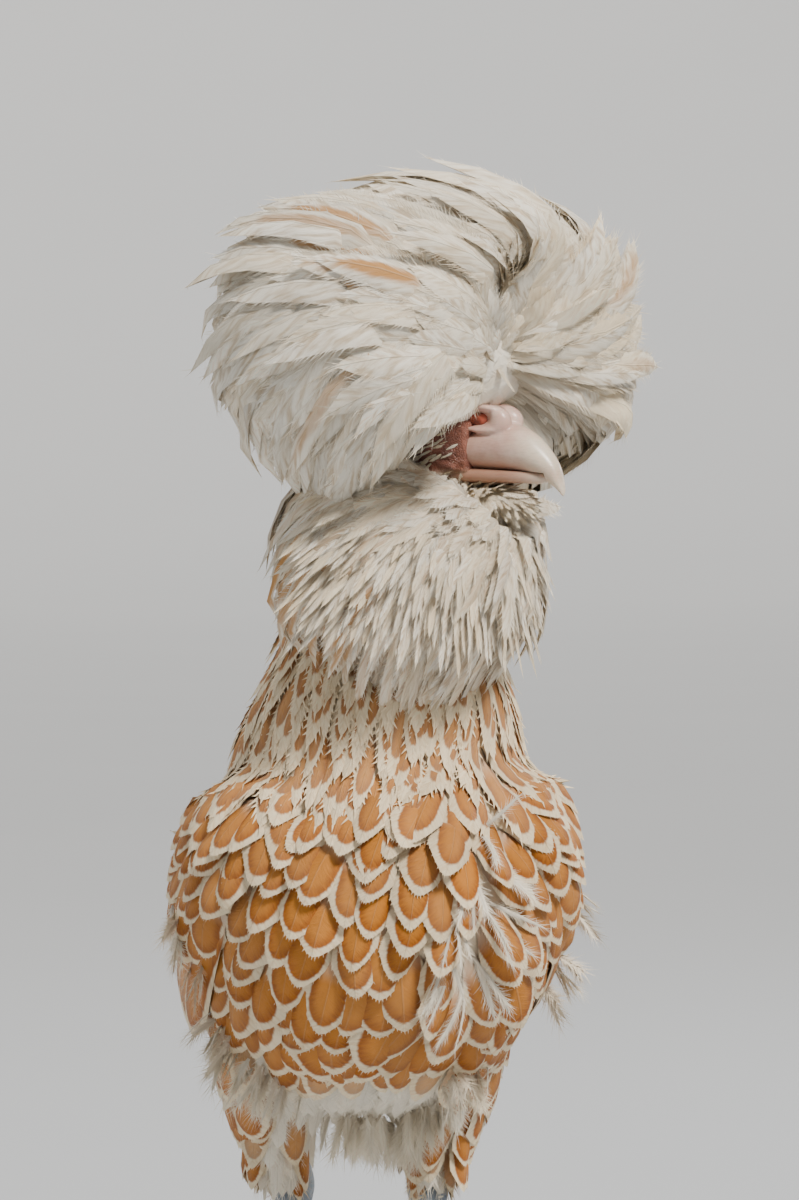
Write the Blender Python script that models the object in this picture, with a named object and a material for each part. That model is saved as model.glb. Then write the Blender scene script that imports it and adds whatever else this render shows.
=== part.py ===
"""A crested, bearded hen standing with its head turned to its left, life size, as a still model.

Metres, +Z up, the floor at z = 0. The hen's breast faces -Y and its left side is +X.
Forms are laid out about the middle of the body and moved at the end, so that the
origin is the bottom centre of the whole hen's box.
"""

import math
import random

import bmesh
import bpy
from mathutils import Matrix, Vector

GAP = 0.00035
SLIVER = 0.000002
ORIGIN_X = 0.0100
ORIGIN_Y = 0.0337

BODY_PITCH = math.radians(30.0)
BODY_YAW = math.radians(10.0)
BODY_CENTRE = Vector((0.0, 0.018, 0.158))
BODY_SQUARENESS = 2.25

HEAD_CENTRE = Vector((0.0092, -0.0338, 0.3000))
HEAD_YAW = math.radians(58.0)
HEAD_DIP = math.radians(3.0)
MOUTH_HEIGHT = -0.0100

EYE_RADIUS = 0.0062
EYE_FORWARD = 0.0060
EYE_OUT = 0.0102
EYE_HEIGHT = 0.0025

CREST_FORWARD = 0.0085
CREST_HEIGHT = 0.0215
CREST_RADIUS = 0.0595
CREST_RISE = 0.0465
CREST_PARTING = 0.46
CREST_POLE_RISE = 36.0
CREST_ROWS = (26.0, 48.0, 70.0, 92.0, 114.0, 136.0, 158.0)
CREST_SPACING = 0.0205
CREST_WIDTH = 0.0190
CREST_CORE = (0.0240, 0.0260, 0.0190)
CREST_CORE_AT = (0.0050, 0.0240)

BEARD_FORWARD = 0.0045
BEARD_HEIGHT = -0.0380
BEARD_RADIUS = 0.0385
BEARD_DROP = 0.0390
BEARD_TAPER = 0.26
BEARD_LEAN = 0.0080
BEARD_ROWS = ((10.0, 56.0), (-12.0, 18.0), (-34.0, 0.0), (-56.0, 0.0), (-78.0, 0.0))
BEARD_SPACING = 0.0165
BEARD_WIDTH = 0.0165
BEARD_CORE = (0.0190, 0.0190, 0.0190)
BEARD_CORE_AT = (0.0100, -0.0350)

VANE_THICKNESS = 0.0011
QUILL_THICKNESS = 0.0010

STANCE_X = -0.0015
HOCK_HEIGHT = 0.0820
FOOT_Y = 0.0230
FOOT_SPREAD = 0.0215
TOE_RADIUS = 0.0042
SOLE_CUT = 0.0011

PLUMAGE_BUFF = (0.62, 0.33, 0.11)
PLUMAGE_CREAM = (0.82, 0.76, 0.66)
HORN_PINK = (0.80, 0.66, 0.60)
SKIN_RED = (0.55, 0.20, 0.15)
SHANK_SLATE = (0.42, 0.45, 0.50)
CLAW_HORN = (0.66, 0.60, 0.54)
IRIS_ORANGE = (0.60, 0.22, 0.05)


def material(name, colour, roughness):
    """A plain finish with the part's own colour."""
    made = bpy.data.materials.get(name)
    if made:
        return made
    made = bpy.data.materials.new(name)
    made.use_nodes = True
    shader = made.node_tree.nodes["Principled BSDF"]
    shader.inputs["Base Color"].default_value = (*colour, 1.0)
    shader.inputs["Roughness"].default_value = roughness
    return made


def blend(a, b, share):
    return a + (b - a) * share


def smooth_between(values, place):
    """A Catmull-Rom curve through values, read at place from 0 to 1."""
    spans = len(values) - 1
    position = min(max(place, 0.0), 1.0) * spans
    i = min(int(position), spans - 1)
    t = position - i
    before = values[max(i - 1, 0)]
    start, end = values[i], values[i + 1]
    after = values[min(i + 2, spans)]
    return 0.5 * (
        start * 2.0
        + (end - before) * t
        + (before * 2.0 - start * 5.0 + end * 4.0 - after) * t * t
        + (start * 3.0 - before - end * 3.0 + after) * t * t * t
    )


class Form:
    """A rounded body whose rings share one side direction and one up direction."""

    def __init__(self, stations, side, up, squareness=2.0):
        self.centres = [Vector(s[0]) for s in stations]
        self.widths = [s[1] for s in stations]
        self.heights = [s[2] for s in stations]
        self.side = Vector(side).normalized()
        self.up = Vector(up).normalized()
        self.power = 2.0 / squareness

    def on_ring(self, along, angle, grow=0.0):
        """The point at an angle from the up direction, turning towards the side direction."""
        centre = smooth_between(self.centres, along)
        width = smooth_between(self.widths, along) + grow
        height = smooth_between(self.heights, along) + grow
        c, s = math.cos(angle), math.sin(angle)
        rise = height * math.copysign(abs(c) ** self.power, c)
        reach = width * math.copysign(abs(s) ** self.power, s)
        return centre + self.up * rise + self.side * reach

    def normal(self, along, angle):
        step = 0.02
        ahead = self.on_ring(min(along + step, 1.0), angle)
        behind = self.on_ring(max(along - step, 0.0), angle)
        turned = self.on_ring(along, angle + step) - self.on_ring(along, angle - step)
        found = (ahead - behind).cross(turned)
        outward = self.on_ring(along, angle) - smooth_between(self.centres, along)
        return (found if found.dot(outward) > 0 else -found).normalized()

    def over(self, along, angle, lift):
        """The point that stands lift above the surface."""
        return self.on_ring(along, angle) + self.normal(along, angle) * lift

    def solid(self, steps, sides, grow=0.0):
        """A closed mesh of this form, each ring's first corner on the up direction."""
        bm = bmesh.new()
        ends = (self.centres[1] - self.centres[0]).normalized() * grow
        loops = []
        for i in range(steps + 1):
            push = -ends if i == 0 else ends if i == steps else Vector()
            ring = [
                self.on_ring(i / steps, 2.0 * math.pi * j / sides, grow) + push
                for j in range(sides)
            ]
            loops.append([bm.verts.new(point) for point in ring])
        return closed_loops(bm, loops)


def closed_loops(bm, loops):
    """Joins rings of corners into one closed body of triangles."""
    sides = len(loops[0])
    for near, far in zip(loops, loops[1:]):
        for j in range(sides):
            k = (j + 1) % sides
            bm.faces.new((near[j], near[k], far[k]))
            bm.faces.new((near[j], far[k], far[j]))
    for end in (loops[0], loops[-1]):
        bm.faces.new(end)
    bmesh.ops.recalc_face_normals(bm, faces=bm.faces[:])
    bmesh.ops.triangulate(bm, faces=[f for f in bm.faces if len(f.verts) > 3])
    mesh = bpy.data.meshes.new("form")
    bm.to_mesh(mesh)
    bm.free()
    return mesh


def vane(points, outwards, widths, thickness=VANE_THICKNESS, roll=0.0):
    """A flat tapered feather: a lens section at each point and one closing tip."""
    bm = bmesh.new()
    count = len(points)
    rings = []
    for i, (point, outward, width) in enumerate(zip(points, outwards, widths)):
        ahead = points[min(i + 1, count - 1)] - points[max(i - 1, 0)]
        level = ahead.cross(outward).normalized()
        square = level.cross(ahead).normalized()
        across = level * math.cos(roll) + square * math.sin(roll)
        face = square * math.cos(roll) - level * math.sin(roll)
        half = thickness * 0.5 * (1.0 - 0.5 * i / (count - 1))
        corners = (
            point - across * width * 0.5,
            point + face * half,
            point + across * width * 0.5,
            point - face * half,
        )
        rings.append([bm.verts.new(corner) for corner in corners])
    for near, far in zip(rings, rings[1:]):
        left, top, right, under = near
        left2, top2, right2, under2 = far
        for edge, edge2, flat, flat2 in (
            (left, left2, top, top2),
            (right, right2, top, top2),
            (left, left2, under, under2),
            (right, right2, under, under2),
        ):
            bm.faces.new((edge, flat, flat2))
            bm.faces.new((edge, flat2, edge2))
    last = points[-1] + (points[-1] - points[-2]).normalized() * widths[-1] * 0.5
    tip = bm.verts.new(last)
    for j in range(4):
        bm.faces.new((rings[-1][j], rings[-1][(j + 1) % 4], tip))
    bm.faces.new(rings[0])
    bmesh.ops.triangulate(bm, faces=[f for f in bm.faces if len(f.verts) > 3])
    bmesh.ops.recalc_face_normals(bm, faces=bm.faces[:])
    mesh = bpy.data.meshes.new("vane")
    bm.to_mesh(mesh)
    bm.free()
    return mesh


def feather_widths(full, shape):
    """Widths along a feather as shares of its full width."""
    return [full * share for share in shape]


LOCK_SHAPE = (0.45, 0.92, 1.00, 0.62)
QUILL_SHAPE = (0.55, 0.90, 1.00, 0.78)
SHORT_SHAPE = (0.60, 1.00, 0.82)


def bent_path(start, bend, end, count):
    """Points along a quadratic curve from start to end, pulled towards bend."""
    found = []
    for i in range(count):
        t = i / (count - 1)
        found.append(start * (1 - t) ** 2 + bend * 2 * t * (1 - t) + end * t * t)
    return found


def eased(value, low, high):
    """0 below low, 1 above high, and smooth between."""
    share = min(max((value - low) / (high - low), 0.0), 1.0)
    return share * share * (3.0 - 2.0 * share)


def add_object(name, mesh, finish):
    made = bpy.data.objects.new(name, mesh)
    bpy.context.scene.collection.objects.link(made)
    made.data.materials.clear()
    made.data.materials.append(finish)
    return made


def keep_largest(mesh):
    """Leaves only the largest closed surface of a mesh."""
    bm = bmesh.new()
    bm.from_mesh(mesh)
    bm.faces.ensure_lookup_table()
    unseen = set(bm.faces)
    islands = []
    while unseen:
        front = [unseen.pop()]
        island = list(front)
        while front:
            for edge in front.pop().edges:
                for face in edge.link_faces:
                    if face in unseen:
                        unseen.discard(face)
                        front.append(face)
                        island.append(face)
        islands.append(island)
    islands.sort(key=lambda faces: sum(f.calc_area() for f in faces))
    dropped = [face for island in islands[:-1] for face in island]
    if dropped:
        bmesh.ops.delete(bm, geom=dropped, context="FACES")
        loose = [v for v in bm.verts if not v.link_faces]
        bmesh.ops.delete(bm, geom=loose, context="VERTS")
    drop_slivers(bm)
    bm.to_mesh(mesh)
    bm.free()


def drop_slivers(bm):
    """Takes out edges and triangles too thin to matter, as long as the body stays closed."""
    trial = bm.copy()
    bmesh.ops.dissolve_degenerate(trial, dist=SLIVER, edges=trial.edges[:])
    bmesh.ops.triangulate(trial, faces=[f for f in trial.faces if len(f.verts) > 3])
    if all(edge.is_manifold for edge in trial.edges):
        kept = bpy.data.meshes.new("kept")
        trial.to_mesh(kept)
        bm.clear()
        bm.from_mesh(kept)
    trial.free()


def apply_modifier(target):
    bpy.context.view_layer.objects.active = target
    bpy.ops.object.modifier_apply(modifier=target.modifiers[0].name)


def fuse(name, pieces, finish, cutters=()):
    """One node from overlapping pieces, less its neighbours' grown shapes."""
    node = add_object(name, pieces[0], finish)
    for operation, meshes in (("UNION", pieces[1:]), ("DIFFERENCE", cutters)):
        for group in [meshes] if operation == "UNION" else [[m] for m in meshes]:
            if not group:
                continue
            shelf = bpy.data.collections.new("pieces")
            bpy.context.scene.collection.children.link(shelf)
            helpers = []
            for mesh in group:
                helper = bpy.data.objects.new("piece", mesh)
                shelf.objects.link(helper)
                helpers.append(helper)
            joining = node.modifiers.new("join", "BOOLEAN")
            joining.operation = operation
            joining.solver = "MANIFOLD"
            joining.operand_type = "COLLECTION"
            joining.collection = shelf
            apply_modifier(node)
            for helper in helpers:
                bpy.data.objects.remove(helper)
            bpy.data.collections.remove(shelf)
    keep_largest(node.data)
    node.data.materials.clear()
    node.data.materials.append(finish)
    return node


def body_axes():
    """The body's forward direction, up towards the shoulders, its back and its left."""
    flat_forward = Vector((math.sin(BODY_YAW), -math.cos(BODY_YAW), 0.0))
    left = Vector((math.cos(BODY_YAW), math.sin(BODY_YAW), 0.0))
    upright = Vector((0.0, 0.0, 1.0))
    forward = flat_forward * math.cos(BODY_PITCH) + upright * math.sin(BODY_PITCH)
    back = upright * math.cos(BODY_PITCH) - flat_forward * math.sin(BODY_PITCH)
    return forward, back, left


def in_body(left, behind, height):
    """A place measured level from the body's middle line, height from the floor."""
    aside = Vector((math.cos(BODY_YAW), math.sin(BODY_YAW), 0.0))
    rear = Vector((-math.sin(BODY_YAW), math.cos(BODY_YAW), 0.0))
    level = Vector((BODY_CENTRE.x, BODY_CENTRE.y, height))
    return level + aside * left + rear * behind


def torso_form():
    """Distance forward, rise of the ring, half width and half height, rump to breast."""
    forward, back, left = body_axes()
    shape = (
        (-0.102, 0.031, 0.006, 0.006),
        (-0.095, 0.028, 0.017, 0.016),
        (-0.078, 0.020, 0.030, 0.031),
        (-0.050, 0.008, 0.041, 0.046),
        (-0.016, 0.001, 0.0475, 0.053),
        (0.018, -0.001, 0.0500, 0.055),
        (0.048, -0.002, 0.0475, 0.049),
        (0.070, -0.003, 0.037, 0.036),
        (0.083, -0.004, 0.021, 0.021),
        (0.088, -0.004, 0.008, 0.008),
    )
    stations = [
        (BODY_CENTRE + forward * d + back * rise, half_width, half_height)
        for d, rise, half_width, half_height in shape
    ]
    return Form(stations, left, back, BODY_SQUARENESS)


def neck_form():
    """The feathered neck, from inside the shoulders up into the head."""
    stations = (
        ((0.0040, -0.0080, 0.1840), 0.0360, 0.0300),
        ((0.0035, -0.0130, 0.2040), 0.0415, 0.0350),
        ((0.0050, -0.0180, 0.2200), 0.0385, 0.0340),
        ((0.0065, -0.0190, 0.2360), 0.0325, 0.0280),
        ((0.0050, -0.0180, 0.2520), 0.0260, 0.0225),
        ((0.0030, -0.0190, 0.2660), 0.0205, 0.0190),
        ((0.0010, -0.0220, 0.2780), 0.0165, 0.0175),
        ((0.0000, -0.0250, 0.2900), 0.0140, 0.0150),
    )
    return Form(stations, (1, 0, 0), (0, -1, 0))


def head_axes():
    """Forward along the bill, out to the hen's left, and up through the crown."""
    forward = Vector(
        (
            math.sin(HEAD_YAW) * math.cos(HEAD_DIP),
            -math.cos(HEAD_YAW) * math.cos(HEAD_DIP),
            -math.sin(HEAD_DIP),
        )
    )
    left = Vector((math.cos(HEAD_YAW), math.sin(HEAD_YAW), 0.0))
    return forward, left, forward.cross(left)


def on_head(forward, left, up):
    """A place measured from the middle of the skull."""
    ahead, aside, above = head_axes()
    return HEAD_CENTRE + ahead * forward + aside * left + above * up


def head_form():
    """The skull with its feathered cheeks, from the nape to the root of the bill."""
    shape = (
        (-0.0260, 0.0010, 0.0040, 0.0045),
        (-0.0220, 0.0010, 0.0095, 0.0100),
        (-0.0120, 0.0010, 0.0140, 0.0145),
        (0.0000, 0.0005, 0.0145, 0.0155),
        (0.0110, -0.0015, 0.0125, 0.0135),
        (0.0200, -0.0035, 0.0098, 0.0112),
        (0.0270, -0.0050, 0.0078, 0.0092),
    )
    _, aside, above = head_axes()
    stations = [
        (on_head(forward, 0.0, rise), half_width, half_height)
        for forward, rise, half_width, half_height in shape
    ]
    return Form(stations, aside, above, 2.2)


def ball(centre, radii, axes, segments=12, rings=8):
    """An ellipsoid whose radii lie along the given axes."""
    bm = bmesh.new()
    bmesh.ops.create_uvsphere(bm, u_segments=segments, v_segments=rings, radius=1.0)
    columns = [Vector(axis) * radius for axis, radius in zip(axes, radii)]
    turn = Matrix((columns[0], columns[1], columns[2])).transposed().to_4x4()
    bmesh.ops.transform(bm, matrix=Matrix.Translation(centre) @ turn, verts=bm.verts)
    bmesh.ops.recalc_face_normals(bm, faces=bm.faces[:])
    bmesh.ops.triangulate(bm, faces=bm.faces[:])
    mesh = bpy.data.meshes.new("ball")
    bm.to_mesh(mesh)
    bm.free()
    return mesh


def lid_ring(side):
    """The raised rim of the eyelids, a ring that faces out of the cheek."""
    ahead, aside, above = head_axes()
    centre = on_head(EYE_FORWARD, side * (EYE_OUT + 0.0020), EYE_HEIGHT)
    bm = bmesh.new()
    loops = []
    around, tube_sides = 12, 5
    for i in range(around):
        angle = 2.0 * math.pi * i / around
        spoke = ahead * math.cos(angle) + above * math.sin(angle) * 0.84
        middle = centre + spoke * (EYE_RADIUS * 0.90) + aside * side * 0.0012
        ring = []
        for j in range(tube_sides):
            turn = 2.0 * math.pi * j / tube_sides
            swell = spoke * math.cos(turn) + aside * side * math.sin(turn)
            ring.append(bm.verts.new(middle + swell * 0.0013))
        loops.append(ring)
    for i, near in enumerate(loops):
        far = loops[(i + 1) % around]
        for j in range(tube_sides):
            k = (j + 1) % tube_sides
            bm.faces.new((near[j], near[k], far[k], far[j]))
    bmesh.ops.triangulate(bm, faces=bm.faces[:])
    bmesh.ops.recalc_face_normals(bm, faces=bm.faces[:])
    mesh = bpy.data.meshes.new("lid")
    bm.to_mesh(mesh)
    bm.free()
    return mesh


def eye_ball(side, grow=0.0):
    place = on_head(EYE_FORWARD, side * EYE_OUT, EYE_HEIGHT)
    radius = EYE_RADIUS + grow
    return ball(place, (radius,) * 3, head_axes(), 12, 8)


def make_head():
    """The skull with its lids and ear lobes."""
    axes = head_axes()
    pieces = [head_form().solid(8, 16)]
    for side in (-1, 1):
        pieces.append(lid_ring(side))
        lobe = on_head(-0.0110, side * 0.0140, -0.0075)
        pieces.append(ball(lobe, (0.0042, 0.0018, 0.0056), axes, 8, 5))
    cutters = [eye_ball(side, GAP) for side in (-1, 1)]
    finish = material("face_skin", SKIN_RED, 0.7)
    fuse("head", pieces, finish, cutters)
    iris = material("eye", IRIS_ORANGE, 0.15)
    for side, word in ((-1, "right"), (1, "left")):
        add_object("eye_" + word, eye_ball(side), iris)


def upper_bill_form():
    """The hooked upper bill: distance forward, mid height, half width, half height."""
    shape = (
        (0.0170, -0.0075, 0.0072, 0.0022),
        (0.0240, -0.0055, 0.0071, 0.0048),
        (0.0310, -0.0040, 0.0066, 0.0064),
        (0.0380, -0.0037, 0.0060, 0.0066),
        (0.0440, -0.0050, 0.0050, 0.0057),
        (0.0490, -0.0078, 0.0037, 0.0045),
        (0.0525, -0.0112, 0.0024, 0.0034),
        (0.0545, -0.0150, 0.0010, 0.0016),
    )
    _, aside, above = head_axes()
    stations = [
        (on_head(forward, 0.0, rise), half_width, half_height)
        for forward, rise, half_width, half_height in shape
    ]
    return Form(stations, aside, above, 1.9)


def lower_bill_form():
    """The shallow lower bill, tucked behind the hook."""
    shape = (
        (0.0170, -0.0132, 0.0068, 0.0028),
        (0.0250, -0.0128, 0.0064, 0.0028),
        (0.0330, -0.0124, 0.0056, 0.0026),
        (0.0410, -0.0119, 0.0043, 0.0023),
        (0.0470, -0.0116, 0.0026, 0.0016),
        (0.0500, -0.0115, 0.0012, 0.0008),
    )
    _, aside, above = head_axes()
    stations = [
        (on_head(forward, 0.0, rise), half_width, half_height)
        for forward, rise, half_width, half_height in shape
    ]
    return Form(stations, aside, above, 2.4)


def mouth_blade(low, high, front):
    """A slab across the bill between two heights, used to part its two halves."""
    bm = bmesh.new()
    bmesh.ops.create_cube(bm, size=1.0)
    ahead, aside, above = head_axes()
    length, width = front - 0.005, 0.040
    middle = on_head(front - length / 2, 0.0, (low + high) / 2)
    columns = (ahead * length, aside * width, above * (high - low))
    turn = Matrix(columns).transposed().to_4x4()
    bmesh.ops.transform(bm, matrix=Matrix.Translation(middle) @ turn, verts=bm.verts)
    bmesh.ops.recalc_face_normals(bm, faces=bm.faces[:])
    bmesh.ops.triangulate(bm, faces=bm.faces[:])
    mesh = bpy.data.meshes.new("blade")
    bm.to_mesh(mesh)
    bm.free()
    return mesh


def nostril_bulbs():
    """The two raised, open nostril knobs that a crested fowl has over its bill."""
    axes = head_axes()
    knobs = []
    for side in (-1, 1):
        knobs.append(
            ball(on_head(0.0325, side * 0.0032, 0.0030), (0.0060, 0.0036, 0.0048), axes, 10, 7)
        )
    return knobs


def nostril_slits():
    axes = head_axes()
    return [
        ball(on_head(0.0290, side * 0.0066, 0.0018), (0.0042, 0.0022, 0.0016), axes, 8, 5)
        for side in (-1, 1)
    ]


def make_bill():
    """Upper bill with its nostril knobs and hook, and the lower bill, a mouth line apart."""
    horn = material("bill_horn", HORN_PINK, 0.35)
    skull = head_form().solid(8, 16, GAP)
    below = mouth_blade(-0.0400, MOUTH_HEIGHT, 0.0500)
    upper = [upper_bill_form().solid(12, 12)] + nostril_bulbs()
    fuse("bill_upper", upper, horn, [skull, below, *nostril_slits()])
    above = mouth_blade(MOUTH_HEIGHT - GAP, 0.0200, 0.0600)
    lower = [lower_bill_form().solid(8, 10)]
    hook = upper_bill_form().solid(12, 12, GAP)
    fuse("bill_lower", lower, horn, [skull, above, hook])


def horn_tip(foot, tip, radius):
    """One small pointed horn."""
    stations = [(blend(foot, tip, s), radius * r, radius * r) for s, r in
                ((0.0, 0.8), (0.35, 1.0), (0.75, 0.7), (1.0, 0.15))]
    ahead, aside, _ = head_axes()
    return Form(stations, aside, ahead).solid(4, 6)


def make_comb():
    """The tiny two-horned comb in front of the crest."""
    horns = []
    for side in (-1, 1):
        foot = on_head(0.0255, side * 0.0012, 0.0030)
        tip = on_head(0.0265, side * 0.0052, 0.0118)
        horns.append(horn_tip(foot, tip, 0.0019))
    bed = ball(on_head(0.0255, 0, 0.0045), (0.0022, 0.0036, 0.0020), head_axes(), 8, 5)
    cutters = [head_form().solid(8, 16, GAP), upper_bill_form().solid(12, 12, GAP)]
    cutters += [
        ball(on_head(0.0325, side * 0.0032, 0.0030),
             (0.0060 + GAP, 0.0036 + GAP, 0.0048 + GAP), head_axes(), 10, 7)
        for side in (-1, 1)
    ]
    fuse("comb", [bed, *horns], material("comb_red", SKIN_RED, 0.5), cutters)


def head_way(turn, rise):
    """A direction in degrees: a turn from the bill towards the hen's left, and a rise."""
    ahead, aside, above = head_axes()
    t, r = math.radians(turn), math.radians(rise)
    return (ahead * math.cos(t) + aside * math.sin(t)) * math.cos(r) + above * math.sin(r)


def way_angles(way):
    """The turn and rise of a direction, in degrees."""
    ahead, aside, above = head_axes()
    turn = math.degrees(math.atan2(way.dot(aside), way.dot(ahead)))
    return turn, math.degrees(math.asin(max(min(way.dot(above), 1.0), -1.0)))


def core_place(way, core, at, share=1.0):
    """A place on a hidden core, or inside it at a share of its radii."""
    place = on_head(at[0], 0.0, at[1])
    for axis, radius in zip(head_axes(), core):
        place += axis * way.dot(axis) * radius * share
    return place


def crest_floor(turn):
    """The crest's lowest rise at a turn from the bill: high over the face, low behind."""
    return -60.0 + 62.0 * math.exp(-((turn / 52.0) ** 2))


def crest_ways(draw):
    """Directions of the feather tips, in staggered rows round a pole above the bill."""
    pole = head_way(0.0, CREST_POLE_RISE)
    over = head_way(180.0, 90.0 - CREST_POLE_RISE)
    _, aside, _ = head_axes()
    for row, angle in enumerate(CREST_ROWS):
        off = math.radians(angle)
        count = max(round(2.0 * math.pi * CREST_RADIUS * math.sin(off) / CREST_SPACING), 5)
        for i in range(count):
            around = 2.0 * math.pi * (i + 0.5 * (row % 2)) / count + draw.uniform(-0.03, 0.03)
            round_pole = over * math.cos(around) + aside * math.sin(around)
            way = pole * math.cos(off) + round_pole * math.sin(off)
            turn, rise = way_angles(way)
            if rise > crest_floor(turn) and (abs(turn) > 15.0 or rise > 42.0):
                yield way


def crest_edge(way, share):
    """The crest's outline in a direction, parted over the bill, or a share of the way to it."""
    ahead, aside, above = head_axes()
    forward, side, up = way.dot(ahead), way.dot(aside), way.dot(above)
    turn = math.degrees(math.atan2(side, forward))
    parted = CREST_PARTING * math.exp(-((turn / 24.0) ** 2)) * (1.0 - eased(up, 0.35, 0.85))
    level = max(math.hypot(forward, side), 1e-4)
    reach = CREST_RADIUS * (1.0 - parted) * level ** -0.25
    out = (ahead * forward + aside * side) * reach + above * up * CREST_RISE
    return on_head(CREST_FORWARD, 0.0, CREST_HEIGHT) + out * share


def crest_feather(way, reach, roll):
    """One crest feather, out of the core and over to its place on the outline."""
    ahead, _, above = head_axes()
    share = eased(way.dot(ahead), -0.7, 0.3)
    guide = above * (1.0 - 0.75 * share) + ahead * share
    start = (way + guide * 0.85).normalized()
    root = core_place(start, CREST_CORE, CREST_CORE_AT, 0.92)
    bend = crest_edge((way + guide * 0.42).normalized(), 0.95 * reach)
    tip = crest_edge(way, reach)
    path = bent_path(root, bend, tip, len(LOCK_SHAPE))
    middle = on_head(CREST_FORWARD, 0.0, CREST_HEIGHT - 0.010)
    outwards = [(point - middle).normalized() for point in path]
    return vane(path, outwards, feather_widths(CREST_WIDTH, LOCK_SHAPE), roll=roll)


def make_crest(cutters):
    """The globe of crest feathers over a hidden core."""
    draw = random.Random(11)
    place = on_head(CREST_CORE_AT[0], 0.0, CREST_CORE_AT[1])
    pieces = [ball(place, CREST_CORE, head_axes(), 14, 9)]
    for way in crest_ways(draw):
        roll = math.radians(10.0 + draw.uniform(-1.0, 1.0))
        pieces.append(crest_feather(way, draw.uniform(0.965, 1.015), roll))
    finish = material("crest_feather", PLUMAGE_CREAM, 0.8)
    return fuse("crest", pieces, finish, cutters)


def beard_edge(way, share):
    """The outline of beard and muffs in a direction, or a share of the way to it."""
    ahead, aside, above = head_axes()
    low = eased(-way.dot(above), 0.15, 0.95)
    radius = BEARD_RADIUS * (1.0 - BEARD_TAPER * low)
    out = (ahead * way.dot(ahead) + aside * way.dot(aside)) * radius
    out += above * way.dot(above) * BEARD_DROP + ahead * BEARD_LEAN * low
    return on_head(BEARD_FORWARD, 0.0, BEARD_HEIGHT) + out * share


def beard_lock(turn, rise, reach, roll):
    """One lock, from the jaw out, back and down to its place on the outline."""
    start = head_way(turn * 0.74, min(rise + 40.0, 60.0))
    root = core_place(start, BEARD_CORE, BEARD_CORE_AT, 0.90)
    bend = beard_edge(head_way(turn * 0.90, rise + 20.0), 0.97 * reach)
    tip = beard_edge(head_way(turn, rise), reach)
    path = bent_path(root, bend, tip, len(LOCK_SHAPE))
    middle = on_head(BEARD_FORWARD, 0.0, BEARD_HEIGHT)
    outwards = [(point - middle).normalized() for point in path]
    return vane(path, outwards, feather_widths(BEARD_WIDTH, LOCK_SHAPE), roll=roll)


def make_beard(cutters):
    """The muffs on the cheeks and the beard under the bill, as overlapping locks."""
    draw = random.Random(5)
    place = on_head(BEARD_CORE_AT[0], 0.0, BEARD_CORE_AT[1])
    pieces = [ball(place, BEARD_CORE, head_axes(), 12, 8)]
    for row, (rise, first) in enumerate(BEARD_ROWS):
        last = 140.0
        span = math.radians(last - first) * BEARD_RADIUS * math.cos(math.radians(rise))
        count = max(round(span / BEARD_SPACING), 1)
        for i in range(count):
            turn = blend(first, last, (i + 0.5 + 0.35 * (row % 2)) / (count + 0.35))
            for side in (-1, 1):
                lean = side * turn + draw.uniform(-2.0, 2.0)
                roll = math.radians(10.0 + draw.uniform(-1.0, 1.0))
                pieces.append(beard_lock(lean, rise, draw.uniform(0.95, 1.04), roll))
    finish = material("beard_feather", PLUMAGE_CREAM, 0.8)
    return fuse("beard", pieces, finish, cutters)


def make_neck(cutters):
    """The neck; its narrow feathers belong to the coat."""
    pieces = [neck_form().solid(11, 20)]
    return fuse("neck", pieces, material("hackle_feather", PLUMAGE_BUFF, 0.8), cutters)


def make_torso():
    finish = material("body_feather", PLUMAGE_BUFF, 0.8)
    return add_object("torso", torso_form().solid(15, 26), finish)


def wing_feather(torso, side, start, end, lifts, width, shape):
    """A feather that lies along the body's side, from start to end, as (along, angle)."""
    path, outwards = [], []
    for i in range(len(shape)):
        t = i / (len(shape) - 1)
        along = blend(start[0], end[0], t)
        angle = side * math.radians(blend(start[1], end[1], t))
        path.append(torso.over(along, angle, blend(lifts[0], lifts[1], t)))
        outwards.append(torso.normal(along, angle))
    roll = side * math.radians(-8.0)
    return vane(path, outwards, feather_widths(width, shape), QUILL_THICKNESS, roll)


WING_TIERS = (
    (6, (0.58, 0.42), (100, 70), (0.15, 0.16), (88, 66), (0.0020, 0.0024), 0.0185, QUILL_SHAPE),
    (5, (0.66, 0.48), (106, 70), (0.38, 0.28), (110, 68), (0.0042, 0.0046), 0.0195, SHORT_SHAPE),
    (4, (0.74, 0.58), (106, 72), (0.57, 0.44), (110, 70), (0.0056, 0.0068), 0.0200, SHORT_SHAPE),
)


def make_wing(side, word, cutters):
    """A folded wing: the arm, then its tiers of flight feathers and coverts.

    A tier gives its count, the along and turn of its roots, the same of its tips, the
    lifts over the body at root and tip, the width and the outline of its feathers.
    """
    torso = torso_form()
    _, back, left = body_axes()
    arm = []
    for along, angle, half_width, half_height in (
        (0.80, 84.0, 0.0040, 0.0018),
        (0.76, 86.0, 0.0130, 0.0036),
        (0.68, 88.0, 0.0200, 0.0046),
        (0.58, 88.0, 0.0225, 0.0046),
        (0.48, 84.0, 0.0200, 0.0042),
        (0.40, 80.0, 0.0130, 0.0034),
        (0.34, 78.0, 0.0050, 0.0018),
    ):
        angle = side * math.radians(angle)
        arm.append((torso.over(along, angle, 0.0020), half_width, half_height))
    pieces = [Form(arm, back, left * side).solid(6, 10)]
    for count, roots, root_angles, tips, tip_angles, lifts, width, shape in WING_TIERS:
        for i in range(count):
            t = i / (count - 1)
            start = (blend(*roots, t), blend(*root_angles, t))
            end = (blend(*tips, t), blend(*tip_angles, t))
            pieces.append(wing_feather(torso, side, start, end, lifts, width, shape))
    finish = material("wing_feather", PLUMAGE_BUFF, 0.8)
    return fuse("wing_" + word, pieces, finish, cutters)


TAIL_MAIN = 6
TAIL_LENGTH = 0.0900
TAIL_COVERT_LENGTH = 0.0520


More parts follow.
